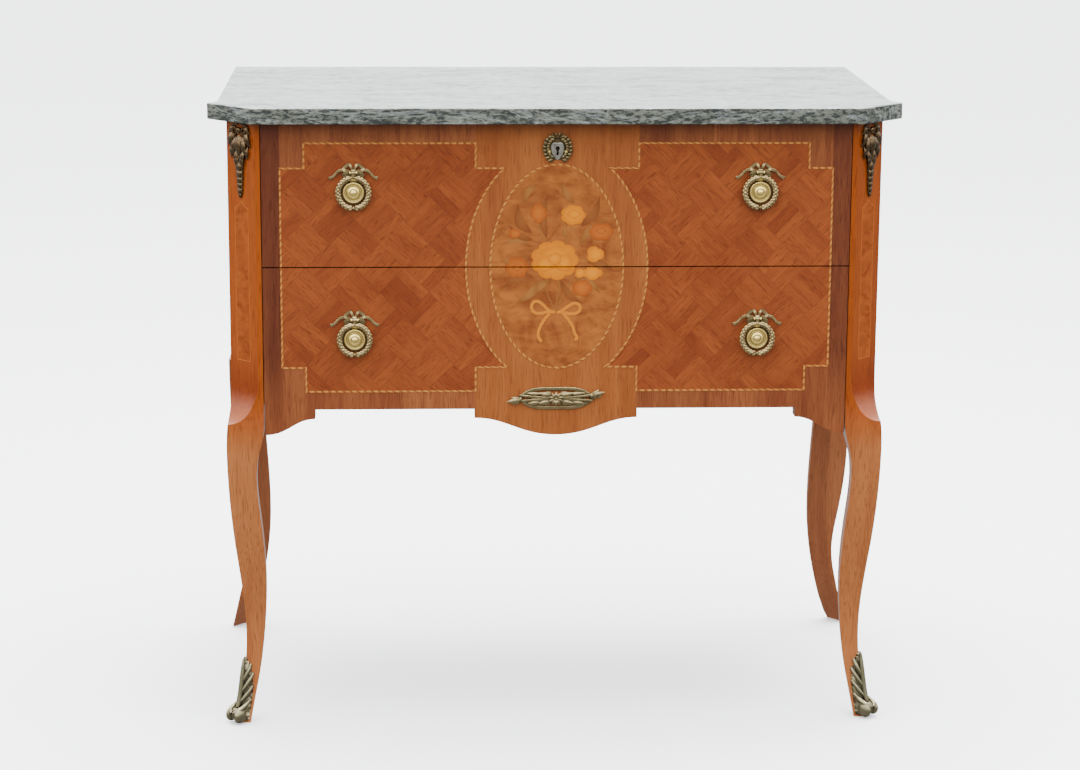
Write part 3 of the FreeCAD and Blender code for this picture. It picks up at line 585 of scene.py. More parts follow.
# Painted shade: the rear legs take a darker copy of the legs' wood, for the shade under the chest
rearLegWood = plainWood(
    "rearLegWood", (0.26, 0.09, 0.033, 1), (0.165, 0.047, 0.017, 1), bands=34.0, stretch=0.05, pores=0.35,
)
sideVeneer = plainWood(
    "sideVeneer", (0.25, 0.076, 0.02, 1), (0.14, 0.036, 0.009, 1),
    bands=26.0, fibres=620.0, stretch=0.04, pores=0.3, gloss=0.28,
)
caseWood = plainWood(
    "caseWood", (0.62, 0.43, 0.23, 1), (0.42, 0.25, 0.11, 1), alongX,
    bands=30.0, fibres=300.0, stretch=0.05, pores=0.2, gloss=0.62,
)
runnerWood = plainWood(
    "runnerWood", (0.62, 0.44, 0.24, 1), (0.44, 0.27, 0.12, 1), alongY,
    bands=34.0, fibres=320.0, stretch=0.05, pores=0.2, gloss=0.62,
)
drawerWood, drawerBackWood = (
    plainWood(
        name, (0.58, 0.41, 0.23, 1), (0.4, 0.25, 0.12, 1), turn,
        bands=26.0, fibres=380.0, stretch=0.04, pores=0.3, gloss=0.58,
    )
    for name, turn in (("drawerWood", alongY), ("drawerBackWood", alongX))
)
thinBoard = plainWood(
    "thinBoard", (0.6, 0.42, 0.24, 1), (0.45, 0.29, 0.15, 1), alongX,
    bands=18.0, fibres=420.0, stretch=0.06, pores=0.25, gloss=0.6,
)
backBoard = plainWood(
    "backBoard", (0.34, 0.19, 0.085, 1), (0.2, 0.1, 0.042, 1), alongX,
    bands=18.0, fibres=420.0, stretch=0.05, pores=0.3, gloss=0.6,
)
centreVeneer = plainWood(
    "centreVeneer", centreColors["pale"], centreColors["deep"],
    bands=42.0, fibres=560.0, stretch=0.05, pores=0.35,
)
drawerVeneer = frontVeneer()
parquetry = parquetVeneer()
ovalBurr = burrVeneer("ovalBurr", (0.287, 0.091, 0.0185, 1), (0.145, 0.038, 0.0095, 1))
postBurr = burrVeneer("postBurr", (0.25, 0.056, 0.006, 1), (0.14, 0.026, 0.003, 1), 1.4)
roseWood = petalVeneer("roseWood", (0.54, 0.175, 0.004, 1), (0.41, 0.112, 0.003, 1))
blossomWood = petalVeneer("blossomWood", (0.34, 0.09, 0.012, 1), (0.24, 0.052, 0.008, 1))
leafWood = petalVeneer("leafWood", (0.235, 0.092, 0.022, 1), (0.175, 0.06, 0.013, 1))
darkLeafWood = petalVeneer("darkLeafWood", (0.19, 0.06, 0.014, 1), (0.14, 0.04, 0.01, 1))
ribbonWood = petalVeneer("ribbonWood", (0.45, 0.15, 0.013, 1), (0.4, 0.125, 0.011, 1))
checkString = stringVeneer()
marble = marbleStone()
pullBrass = agedBrass("pullBrass", (0.85, 0.64, 0.2, 1), (0.52, 0.38, 0.12, 1), (0.04, 0.025, 0.01, 1))
mountBrass = agedBrass(
    "mountBrass", (0.3, 0.235, 0.115, 1), (0.11, 0.082, 0.04, 1), (0.006, 0.004, 0.002, 1), 0.006,
)
footBrass = agedBrass(
    "footBrass", (0.25, 0.215, 0.125, 1), (0.105, 0.096, 0.057, 1), (0.007, 0.006, 0.004, 1), 0.006,
)
wreathBrass = agedBrass(
    "wreathBrass", (0.42, 0.31, 0.14, 1), (0.16, 0.113, 0.05, 1), (0.01, 0.006, 0.003, 1), 0.005,
)
cornerBrass = agedBrass(
    "cornerBrass", (0.145, 0.094, 0.046, 1), (0.014, 0.008, 0.004, 1), (0.003, 0.002, 0.001, 1), 0.006,
    polish=(0.16, 0.34), clouds=420.0,
)
branchBrass = agedBrass(
    "branchBrass", (0.15, 0.11, 0.05, 1), (0.05, 0.035, 0.017, 1), (0.005, 0.003, 0.002, 1), 0.006,
)
shieldMetal = agedBrass(
    "shieldMetal", (0.5, 0.48, 0.4, 1), (0.2, 0.19, 0.15, 1), (0.012, 0.01, 0.007, 1), polish=(0.12, 0.2),
)
steel = dullSteel()
print("finishes ready")

nodeFinish = {
    "marble_top": marble, "upper_drawer_front": drawerVeneer, "lower_drawer_front": drawerVeneer,
    "back_panel": backBoard,
}


def finishFor(node):
    if node in nodeFinish:
        return nodeFinish[node]
    if "_leg_" in node:
        # Rear legs get the wood darkened as painted shade
        return rearLegWood if node.startswith("rear") else legWood
    if node.startswith("side_panel"):
        return sideVeneer
    if "_drawer_side" in node:
        return drawerWood
    if node.endswith("_drawer_back"):
        return drawerBackWood
    if node.endswith("_drawer_bottom"):
        return thinBoard
    if node.startswith("lock") or node in ("runner_screws", "strike_plate") or node.endswith("_nuts"):
        return steel
    if "runner" in node or "kicker" in node or node == "glue_blocks":
        return runnerWood
    if node.endswith("_rail"):
        return caseWood
    return mountBrass if "mount" in node else pullBrass


for nodeName, nodeObject in nodes.items():
    nodeObject.data.materials.clear()
    nodeObject.data.materials.append(finishFor(nodeName))
print("solids finished")


# Inlay on the drawer fronts: outlines are lists of (x, z), and the drawers' gap cuts a sheet in two

def ellipsePath(halfWidth, halfHeight, centre=(0, 0), steps=96, start=0.0, end=2 * math.pi):
    whole = abs(end - start - 2 * math.pi) < 1e-6
    count = steps if whole else steps + 1
    turns = [start + (end - start) * i / steps for i in range(count)]
    return [(centre[0] + halfWidth * math.cos(t), centre[1] + halfHeight * math.sin(t)) for t in turns]


def cutVeneer(name, outline, lift, sink=0.0004):
    # A flat sheet sawn to an outline; UV runs from -1 to 1 about its middle
    fresh()
    bpy.ops.mesh.primitive_circle_add(vertices=len(outline), radius=1, fill_type="NGON")
    sheet = named(name)
    for vertex, (x, z) in zip(sheet.data.vertices, outline):
        vertex.co = (x, frontY + sink, z)
    xs = [p[0] for p in outline]
    zs = [p[1] for p in outline]
    middle = ((min(xs) + max(xs)) / 2, (min(zs) + max(zs)) / 2)
    half = (max((max(xs) - min(xs)) / 2, 1e-6), max((max(zs) - min(zs)) / 2, 1e-6))
    bpy.ops.object.mode_set(mode="EDIT")
    bpy.ops.mesh.select_all(action="SELECT")
    bpy.ops.mesh.extrude_region_move(TRANSFORM_OT_translate={"value": (0, -sink - lift, 0)})
    bpy.ops.object.mode_set(mode="OBJECT")
    finishMesh(sheet, 30)
    layer = sheet.data.uv_layers.get("UVMap") or sheet.data.uv_layers.new(name="UVMap")
    for loop in sheet.data.loops:
        at = sheet.data.vertices[loop.vertex_index].co
        layer.data[loop.index].uv = ((at.x - middle[0]) / half[0], (at.z - middle[1]) / half[1])
    return sheet


def layLine(name, path, width, lift, closed=False, sink=0.0004, depths=None, taper=None):
    # A flat line extruded edge by edge along a path, mitred at its corners; UV is (distance along, side)
    count = len(path)
    points = [Vector((p[0], 0, p[1])) for p in path]
    stations = [0.0]
    for i in range(1, count + int(closed)):
        stations.append(stations[-1] + (points[i % count] - points[i - 1]).length)
    pairs = []
    for i in range(count + int(closed)):
        here = points[i % count]
        before = points[(i - 1) % count] if closed or i > 0 else None
        after = points[(i + 1) % count] if closed or i < count - 1 else None
        into = (here - before).normalized() if before else (after - here).normalized()
        out = (after - here).normalized() if after else into
        along = (into + out).normalized() if (into + out).length > 1e-6 else out
        side = Vector((along.z, 0, -along.x))
        stretch = 1 / max(along.dot(out), 0.4)
        share = taper[i % count] if taper else 1.0
        middle = here + Vector((0, frontY + sink - (depths[i % count] if depths else 0.0), 0))
        half = side * width / 2 * stretch * share
        pairs.append((middle + half, middle - half))
    fresh()
    bpy.ops.mesh.primitive_plane_add(size=width)
    line = named(name)
    bpy.ops.object.mode_set(mode="EDIT")
    spots = {}
    last = (2, 3)
    for i, pair in enumerate(pairs):
        if i > 1:
            selectOnly(line, last)
            bpy.ops.mesh.extrude_edges_move()
        mesh = bmesh.from_edit_mesh(line.data)
        mesh.verts.ensure_lookup_table()
        if i == 0:
            ends = [mesh.verts[0], mesh.verts[1]]
        elif i == 1:
            ends = [mesh.verts[2], mesh.verts[3]]
        else:
            ends = sorted((v for v in mesh.verts if v.select), key=lambda v: (v.co - pairs[i - 1][0]).length)
        for side, vertex in enumerate(ends):
            vertex.co = pair[side]
            spots[vertex.index] = (stations[i], float(side))
        last = tuple(v.index for v in ends)
    layer = mesh.loops.layers.uv.get("UVMap") or mesh.loops.layers.uv.new("UVMap")
    for face in mesh.faces:
        for loop in face.loops:
            loop[layer].uv = spots[loop.vert.index]
    bmesh.update_edit_mesh(line.data)
    bpy.ops.mesh.select_all(action="SELECT")
    bpy.ops.mesh.remove_doubles(threshold=1e-6)
    bpy.ops.mesh.extrude_region_move(TRANSFORM_OT_translate={"value": (0, -sink - lift, 0)})
    bpy.ops.object.mode_set(mode="OBJECT")
    return finishMesh(line, 30)


def selectOnly(obj, indices):
    # These vertices, and the edges between them, in edit mode
    mesh = bmesh.from_edit_mesh(obj.data)
    mesh.verts.ensure_lookup_table()
    for part in (mesh.faces, mesh.edges, mesh.verts):
        for item in part:
            item.select = False
    for index in indices:
        mesh.verts[index].select = True
    mesh.select_flush(True)
    bmesh.update_edit_mesh(obj.data)


def sawn(obj, name, keepAbove, height):
    # The part of a sheet on one side of a level cut
    half = copyOf(obj, name)
    pickOnly(half)
    bpy.ops.object.mode_set(mode="EDIT")
    bpy.ops.mesh.select_all(action="SELECT")
    bpy.ops.mesh.bisect(
        plane_co=(0, 0, height), plane_no=(0, 0, 1), use_fill=True,
        clear_inner=keepAbove, clear_outer=not keepAbove,
    )
    return finishMesh(half, 30)


def layOnDrawers(obj, material):
    # Rides on the drawer it lies on, or is sawn in two at the gap
    heights = [v.co.z for v in obj.data.vertices]
    name = obj.name
    if min(heights) < lowerHigh.z and max(heights) > upperLow.z:
        upper = sawn(obj, name + "_upper", True, upperLow.z)
        lower = sawn(obj, name + "_lower", False, lowerHigh.z)
        discard(obj)
        dress(upper, material, "upper_drawer", "front_veneer")
        dress(lower, material, "lower_drawer", "front_veneer")
    else:
        dress(obj, material, "upper_drawer" if min(heights) >= gapZ else "lower_drawer", "front_veneer")


panel = {
    "outer": bandWidth["panelHalf"], "top": 0.711, "bottom": 0.414, "inner": bandWidth["centreHalf"],
    "stepOut": 0.297, "stepTop": 0.6815, "stepBottom": 0.443, "stringWidth": 0.0021,
}
fieldOval = {"halfWidth": 0.1074, "halfHeight": 0.1446}
inlayOval = {"halfWidth": 0.0786, "halfHeight": 0.122}
# How far each layer stands proud of the drawer fronts
lifts = {"panel": 0.0001, "field": 0.0002, "oval": 0.0003, "string": 0.0004}


def ovalAngle(height):
    return math.asin((height - gapZ) / fieldOval["halfHeight"])


def layPanels():
    highTurn = ovalAngle(panel["stepTop"])
    lowTurn = ovalAngle(panel["stepBottom"])
    lobe = ellipsePath(fieldOval["halfWidth"], fieldOval["halfHeight"], (0, gapZ), 32, lowTurn, highTurn)
    edge = [
        (panel["stepOut"], panel["top"]), (panel["stepOut"], panel["stepTop"]),
        (panel["outer"], panel["stepTop"]), (panel["outer"], panel["stepBottom"]),
        (panel["stepOut"], panel["stepBottom"]), (panel["stepOut"], panel["bottom"]),
        (panel["inner"], panel["bottom"]), (panel["inner"], panel["stepBottom"]),
        *lobe, (panel["inner"], panel["stepTop"]), (panel["inner"], panel["top"]),
    ]
    for side, hand in ((1, "right"), (-1, "left")):
        outline = [(side * x, z) for x, z in edge]
        layOnDrawers(cutVeneer("parquet_panel_" + hand, outline, lifts["panel"]), parquetry)
        string = layLine("panel_string_" + hand, outline, panel["stringWidth"], lifts["string"], True)
        layOnDrawers(string, checkString)
        field = cutVeneer("field_lobe_" + hand, [(side * x, z) for x, z in lobe], lifts["field"])
        layOnDrawers(field, centreVeneer)
    oval = ellipsePath(inlayOval["halfWidth"], inlayOval["halfHeight"], (0, gapZ))
    layOnDrawers(cutVeneer("oval_ground", oval, lifts["oval"]), ovalBurr)
    layOnDrawers(layLine("oval_string", oval, panel["stringWidth"], lifts["string"], True), checkString)


layPanels()
print("panels laid")


# Bouquet: flowers, leaves and a ribbon tied below them

def flowerPath(centre, halfWidth, halfHeight, lobes, depth, turn=0.0, steps=72):
    path = []
    for i in range(steps):
        angle = 2 * math.pi * i / steps
        reach = 1 - depth + depth * abs(math.cos(lobes * (angle + turn) / 2)) ** 0.6
        x = centre[0] + halfWidth * reach * math.cos(angle)
        path.append((x, centre[1] + halfHeight * reach * math.sin(angle)))
    return path


def leafPath(root, tip, width, bow=0.0, steps=14):
    # A pointed leaf from root to tip, bowed to one side
    start, end = Vector(root), Vector(tip)
    along = end - start
    side = Vector((-along.y, along.x)).normalized()
    upper, lower = [], []
    for i in range(steps + 1):
        share = i / steps
        middle = start + along * share + side * bow * math.sin(math.pi * share)
        half = side * width / 2 * math.sin(math.pi * share ** 0.8)
        upper.append(middle + half)
        lower.append(middle - half)
    return [tuple(p) for p in upper + lower[-2:0:-1]]


# Each sheet of a kind lies a hair above the one before, so that none share a face
inlay = {
    "leaf": 0.0004, "leafHair": 0.00001, "flower": 0.0005, "flowerHair": 0.00001,
    "petal": 0.0006, "petalHair": 0.00003, "petalDepth": 0.2, "petalTurn": 0.4,
    "ribbon": 0.0005, "ribbonHair": 0.0001, "ribbonSlope": 0.00008,
}

# A petal is (x and z from the flower's centre, half width, half height, lobes)
flowers = [
    {"name": "rose", "wood": roseWood, "centre": (-0.0026, 0.572), "half": (0.0285, 0.0240),
     "lobes": 9, "depth": 0.13,
     "petals": [(0.0, 0.004, 0.019, 0.014, 5), (-0.010, -0.004, 0.012, 0.010, 4),
                (0.011, -0.003, 0.011, 0.011, 4), (0.0, 0.002, 0.009, 0.008, 3)]},
    {"name": "upper_bloom", "wood": roseWood, "centre": (0.0188, 0.626), "half": (0.0148, 0.0122),
     "lobes": 7, "depth": 0.16, "petals": [(0.001, 0.001, 0.008, 0.006, 4)]},
    {"name": "side_bloom", "wood": roseWood, "centre": (0.045, 0.579), "half": (0.011, 0.010),
     "lobes": 3, "depth": 0.3, "petals": []},
    {"name": "low_bloom", "wood": roseWood, "centre": (0.042, 0.5565), "half": (0.0125, 0.0085),
     "lobes": 4, "depth": 0.25, "petals": []},
    {"name": "side_bud", "wood": roseWood, "centre": (0.0275, 0.5565), "half": (0.0065, 0.006),
     "lobes": 3, "depth": 0.2, "petals": []},
    {"name": "left_bloom", "wood": blossomWood, "centre": (-0.047, 0.5635), "half": (0.0145, 0.013),
     "lobes": 6, "depth": 0.2, "petals": [(0.0, 0.0, 0.006, 0.005, 4)]},
    {"name": "right_bloom", "wood": blossomWood, "centre": (0.052, 0.606), "half": (0.0145, 0.011),
     "lobes": 6, "depth": 0.18, "petals": [(0.0, 0.001, 0.006, 0.004, 4)]},
    {"name": "hip", "wood": blossomWood, "centre": (0.03, 0.5385), "half": (0.0125, 0.010),
     "lobes": 5, "depth": 0.14, "petals": []},
    {"name": "tulip", "wood": blossomWood, "centre": (-0.022, 0.628), "half": (0.010, 0.012),
     "lobes": 4, "depth": 0.25, "petals": []},
    {"name": "bud", "wood": blossomWood, "centre": (-0.05, 0.604), "half": (0.0075, 0.006),
     "lobes": 3, "depth": 0.25, "petals": []},
]

# Root, tip, width, bow to one side, wood
leaves = [
    ((-0.031, 0.590), (-0.066, 0.590), 0.0065, -0.006, leafWood),
    ((-0.028, 0.596), (-0.057, 0.614), 0.008, 0.004, darkLeafWood),
    ((-0.030, 0.604), (-0.046, 0.640), 0.012, 0.007, darkLeafWood),
    ((-0.012, 0.598), (-0.010, 0.652), 0.010, 0.006, darkLeafWood),
    ((0.010, 0.598), (0.012, 0.618), 0.005, 0.002, leafWood),
    ((0.028, 0.612), (0.050, 0.648), 0.011, -0.005, darkLeafWood),
    ((0.026, 0.590), (0.058, 0.620), 0.008, 0.004, leafWood),
    ((0.036, 0.570), (0.066, 0.560), 0.009, 0.003, darkLeafWood),
    ((0.020, 0.552), (0.052, 0.532), 0.009, 0.004, leafWood),
    ((-0.028, 0.553), (-0.062, 0.540), 0.011, -0.005, darkLeafWood),
    ((-0.020, 0.549), (-0.048, 0.520), 0.009, 0.004, leafWood),
    ((-0.034, 0.575), (-0.068, 0.572), 0.008, 0.003, leafWood),
    ((0.004, 0.549), (0.030, 0.520), 0.008, -0.004, darkLeafWood),
    ((-0.008, 0.549), (-0.026, 0.529), 0.008, -0.003, leafWood),
    ((-0.040, 0.640), (-0.022, 0.664), 0.008, 0.004, leafWood),
    ((0.020, 0.640), (0.006, 0.668), 0.008, 0.004, leafWood),
]

stems = [
    [(0.002, 0.550), (0.004, 0.538), (0.000, 0.524), (-0.001, 0.512)],
    [(-0.010, 0.552), (-0.014, 0.540), (-0.008, 0.524), (-0.002, 0.512)],
    [(0.020, 0.560), (0.016, 0.544), (0.006, 0.526), (0.000, 0.512)],
    [(0.010, 0.594), (0.016, 0.604), (0.018, 0.616)],
    [(-0.014, 0.594), (-0.020, 0.606), (-0.022, 0.618)],
]

# Two loops, then two tails
ribbon = {
    "width": 0.0036, "stemWidth": 0.0012,
    "lines": [
        [(-0.0015, 0.5095), (-0.010, 0.5105), (-0.018, 0.5075), (-0.0265, 0.5085), (-0.0305, 0.5145),
         (-0.0285, 0.5215), (-0.0225, 0.5235), (-0.016, 0.519), (-0.010, 0.512), (-0.004, 0.509)],
        [(0.0, 0.5095), (0.008, 0.5095), (0.017, 0.507), (0.0255, 0.5085), (0.0285, 0.514),
         (0.0265, 0.5195), (0.020, 0.5205), (0.013, 0.516), (0.006, 0.5105), (0.001, 0.509)],
        [(-0.008, 0.508), (-0.015, 0.500), (-0.0205, 0.490), (-0.0225, 0.481), (-0.0175, 0.4735)],
        [(0.008, 0.508), (0.014, 0.501), (0.0195, 0.493), (0.0215, 0.484), (0.0255, 0.4785), (0.022, 0.4755)],
    ],
}


def smoothPath(path, rounds=2):
    # Corner cutting, as a saw would run
    for _ in range(rounds):
        cut = [path[0]]
        for here, there in zip(path, path[1:]):
            cut.append(tuple(a * 0.75 + b * 0.25 for a, b in zip(here, there)))
            cut.append(tuple(a * 0.25 + b * 0.75 for a, b in zip(here, there)))
        path = cut + [path[-1]]
    return path


def layBouquet():
    for i, stem in enumerate(stems):
        layOnDrawers(layLine(f"stem_{i}", smoothPath(stem), ribbon["stemWidth"], inlay["leaf"]), leafWood)
    for i, (root, tip, width, bend, wood) in enumerate(leaves):
        outline = leafPath(root, tip, width, bend)
        layOnDrawers(cutVeneer(f"inlay_leaf_{i}", outline, inlay["leaf"] + inlay["leafHair"] * i), wood)
    for number, flower in enumerate(flowers):
        x, z = flower["centre"]
        name, wood = flower["name"], flower["wood"]
        outline = flowerPath((x, z), *flower["half"], flower["lobes"], flower["depth"])
        layOnDrawers(cutVeneer(name, outline, inlay["flower"] + inlay["flowerHair"] * number), wood)
        for i, (dx, dz, wide, tall, lobes) in enumerate(flower["petals"]):
            turn = inlay["petalTurn"] * i
            outline = flowerPath((x + dx, z + dz), wide, tall, lobes, inlay["petalDepth"], turn)
            lift = inlay["petal"] + inlay["petalHair"] * i
            layOnDrawers(cutVeneer(f"{name}_petal_{i}", outline, lift), wood)
    for i, line in enumerate(ribbon["lines"]):
        path = smoothPath(line)
        rise = [inlay["ribbonSlope"] * share / len(path) for share in range(len(path))]
        lift = inlay["ribbon"] + inlay["ribbonHair"] * i
        layOnDrawers(layLine(f"inlay_ribbon_{i}", path, ribbon["width"], lift, depths=rise), ribbonWood)


layBouquet()
print("bouquet laid")


# Brass: leaves, rods and ribbons are modelled once and laid in place

def makeLeaf(name, length, width, arch, ridge, lobes=0, thick=0.0005):
    # A blade pointing up Z, its back at y = 0, arched forward with a raised midrib; its edge can be lobed
    fresh()
    bpy.ops.mesh.primitive_grid_add(x_subdivisions=4, y_subdivisions=9 if lobes else 6, size=1)
    leaf = named(name)
    for vertex in leaf.data.vertices:
        share = vertex.co.y + 0.5
        across = vertex.co.x * 2
        half = width / 2 * math.sin(math.pi * min(0.06 + share * 0.94, 1) ** 0.75)
        if lobes:
            half *= 0.78 + 0.3 * abs(math.sin(math.pi * lobes * share))
        lift = arch * math.sin(math.pi * share) + ridge * (1 - abs(across)) * (1 - 0.6 * share)
        vertex.co = (across * half, -lift, share * length)
    applyModifier(leaf, "SOLIDIFY", thickness=thick, offset=0)
    return finishMesh(leaf, 50)


def placed(master, name, place, turn=0.0, lean=0.0, size=1.0):
    # A copy leaned out of the drawer's plane, turned in it and moved
    move = Matrix.Translation(place) @ Matrix.Rotation(turn, 4, "Y") @ Matrix.Rotation(lean, 4, "X")
    return copyOf(master, name, move @ Matrix.Scale(size, 4))


def layRod(name, points, radii):
    # A round, tapering rod along a few points
    fresh()
    bpy.ops.curve.primitive_nurbs_path_add()
    rod = named(name)
    spline = rod.data.splines[0]
    spline.points.add(max(len(points) - len(spline.points), 0))
    spare = len(spline.points) - len(points)
    points = points + points[-1:] * spare
    radii = radii + radii[-1:] * spare
    for spot, place, radius in zip(spline.points, points, radii):
        spot.co = (*place, 1)
        spot.radius = radius
    spline.use_endpoint_u = True
    spline.resolution_u = 4
    rod.data.bevel_depth = 1.0
    rod.data.bevel_resolution = 3
    rod.data.use_fill_caps = True
    bpy.ops.object.convert(target="MESH")
    return finishMesh(bpy.context.object, 50)


def softened(obj, width, segments=2):
    applyModifier(
        obj, "BEVEL", width=width, segments=segments, limit_method="ANGLE", angle_limit=math.radians(40),
    )
    return finishMesh(obj, 40)


def ball(name, place, halfX, halfY, halfZ, groove=0.0):
    # A flattened knob with a shallow groove round its middle
    fresh()
    bpy.ops.mesh.primitive_uv_sphere_add(segments=20, ring_count=12, radius=1)
    knob = named(name)
    for vertex in knob.data.vertices:
        x, y, z = vertex.co
        dent = 1 - groove * math.exp(-(x * 4) ** 2)
        vertex.co = Vector((x * halfX, y * halfY * dent, z * halfZ * dent)) + Vector(place)
    return finishMesh(knob, 60)


def at(centre, path):
    return [(centre[0] + x, centre[1] + z) for x, z in path]


def strap(name, centre, stops, width, thick, side=1, size=1.0, base=0.0):
    # A rounded ribbon through (x, z, depth, share of the width) stops, mirrored by side
    stops = smoothPath(stops)
    path = at(centre, [(side * x * size, z * size) for x, z, _, _ in stops])
    depths = [base + depth * size for _, _, depth, _ in stops]
    taper = [share for *_, share in stops]
    made = layLine(name, path, width * size, thick * size, sink=0.0, depths=depths, taper=taper)
    return softened(made, thick * size * 0.42, 3)


bow = {
    "width": 0.0034, "thick": 0.0016,
    "loop": [
        (0.001, 0.0262, 0.0022, 0.7), (0.0026, 0.0308, 0.0026, 0.8), (0.0046, 0.0338, 0.0016, 0.9),
        (0.0080, 0.0318, 0.0008, 1.0), (0.0124, 0.0274, 0.0008, 1.0), (0.0074, 0.0252, 0.0024, 0.8),
        (0.001, 0.0250, 0.0024, 0.7),
    ],
    "drape": [
        (0.001, 0.0250, 0.0030, 0.7), (0.0055, 0.0252, 0.0036, 0.9), (0.0105, 0.0228, 0.0028, 1.0),
        (0.0118, 0.0196, 0.0016, 0.9), (0.0088, 0.0196, 0.0022, 0.8), (0.0035, 0.0226, 0.0030, 0.7),
        (0.0, 0.0240, 0.0026, 0.6),
    ],
    "tail": [
        (0.004, 0.0252, 0.0012, 0.8), (0.0100, 0.0262, 0.0004, 1.0), (0.0156, 0.0266, 0.0018, 1.0),
        (0.0198, 0.0232, 0.0008, 0.8), (0.0232, 0.0188, 0.0010, 0.8), (0.0285, 0.0164, 0.0004, 1.2),
    ],
    "knot": (0.0034, 0.0024, 0.0027), "knotRise": 0.0257, "knotDepth": 0.0024,
}


def ribbonBow(name, centre, size, base=0.0, kinds=("loop", "drape", "tail")):
    # Raised loops, folds hanging below them, waving tails and a knot
    pieces = []
    for side in (-1, 1):
        for kind in kinds:
            made = strap(f"{name}_{kind}", centre, bow[kind], bow["width"], bow["thick"], side, size, base)
            pieces.append(made)
    half = [k * size for k in bow["knot"]]
    y = frontY - base - bow["knotDepth"] * size - half[1] * 0.6
    place = (centre[0], y, centre[1] + bow["knotRise"] * size)
    pieces.append(ball(name + "_knot", place, *half, groove=0.14))
    return pieces


# Each step of the turned profile is (inset, push outwards)
boss = {
    "radius": 0.0130, "disc": 0.0154, "discThick": 0.0007, "segments": 56, "stud": (0.0025, 0.028),
    "neckWidth": 0.0092, "neckHeights": (0.008, 0.016, 0.0255), "neckTaper": (0.7, 0.8, 1.0), "plate": 0.0016,
    "steps": [
        (0.0, 0.0048), (0.0009, 0.0017), (0.0017, 0.0), (0.0006, -0.0012), (0.0017, 0.0),
        (0.0009, 0.0024), (0.0026, 0.0009), (0.0006, -0.0009), (0.0013, 0.0013), (0.0015, 0.0005),
    ],
}
hinge = {"rise": 0.0236, "stand": 0.0056, "lugIn": 0.0028, "lugOut": 0.0046, "lugRadius": 0.0021}


def pullPlate(name, centre):
    # Turned boss: a disc pushed out and inset ring by ring, on a stud, with a neck and two lugs for the ring
    x, z = centre
    fresh()
    bpy.ops.mesh.primitive_circle_add(
        vertices=boss["segments"], radius=boss["radius"], fill_type="NGON",
        location=(x, frontY, z), rotation=alongY,
    )
    disc = settle(named(name + "_boss"))
    bpy.ops.object.mode_set(mode="EDIT")
    bpy.ops.mesh.select_all(action="SELECT")
    for inset, push in boss["steps"]:
        if inset:
            bpy.ops.mesh.inset(thickness=inset)
        else:
            bpy.ops.mesh.extrude_region_move()
        bpy.ops.transform.translate(value=(0, -push, 0))
    bpy.ops.object.mode_set(mode="OBJECT")
    softened(disc, 0.00025)
    radius, reach = boss["stud"]
    fresh()
    bpy.ops.mesh.primitive_cylinder_add(
        vertices=20, radius=radius, depth=reach, location=(x, frontY + reach / 2, z), rotation=alongY
    )
    stud = softened(settle(named(name + "_stud")), 0.0005)
    neckPath = [(x, z + height) for height in boss["neckHeights"]]
    neck = layLine(
        name + "_neck", neckPath, boss["neckWidth"], boss["plate"], sink=0.0, taper=boss["neckTaper"],
    )
    pieces = [disc, stud, softened(neck, 0.0004)]
    inner, outer = hinge["lugIn"], hinge["lugOut"]
    lugReach = hinge["stand"] - hinge["lugRadius"] * 0.6
    for side in (-1, 1):
        place = (x + side * (inner + outer) / 2, frontY - hinge["stand"], z + hinge["rise"])
        fresh()
        bpy.ops.mesh.primitive_cylinder_add(
            vertices=20, radius=hinge["lugRadius"], depth=outer - inner, location=place, rotation=alongX,
        )
        lug = settle(named(f"{name}_lug{side}"))
        bpy.ops.object.mode_set(mode="EDIT")
        mesh = bmesh.from_edit_mesh(lug.data)
        for face in mesh.faces:
            face.select_set(face.normal.y > 0.5)
        bmesh.update_edit_mesh(lug.data)
        bpy.ops.mesh.extrude_region_move(TRANSFORM_OT_translate={"value": (0, lugReach, 0)})
        bpy.ops.object.mode_set(mode="OBJECT")
        pieces.append(softened(lug, 0.0002))
    return joined(pieces, name)


# Each row of leaves is (outwards from the core, splay, forward as a share of the core); bands are in degrees.
# The leaves' span is where they begin and how far they run up each side, in half turns
wreath = {
    "radius": 0.0182, "core": 0.0020, "drop": 0.0027, "steps": 12, "leaf": (0.0056, 0.0031, 0.0010, 0.0010),
    "rows": [(-0.0012, 0.26, 0.5), (0.0012, -0.02, 0.5), (0.0, 0.13, 0.95)],
    "bands": (270, 215, 325, 150, 30), "bandRadius": 0.0026, "bandThick": 0.0006, "barrel": (0.0022, 0.005),
    "stemWidth": 0.0044, "stemThick": 0.0030, "stemDepth": 0.0041, "stemTaper": (1.1, 0.8, 1.0),
    "stemHeights": (0.0172, 0.0205, 0.0228), "leafSpan": (0.03, 0.9),
}


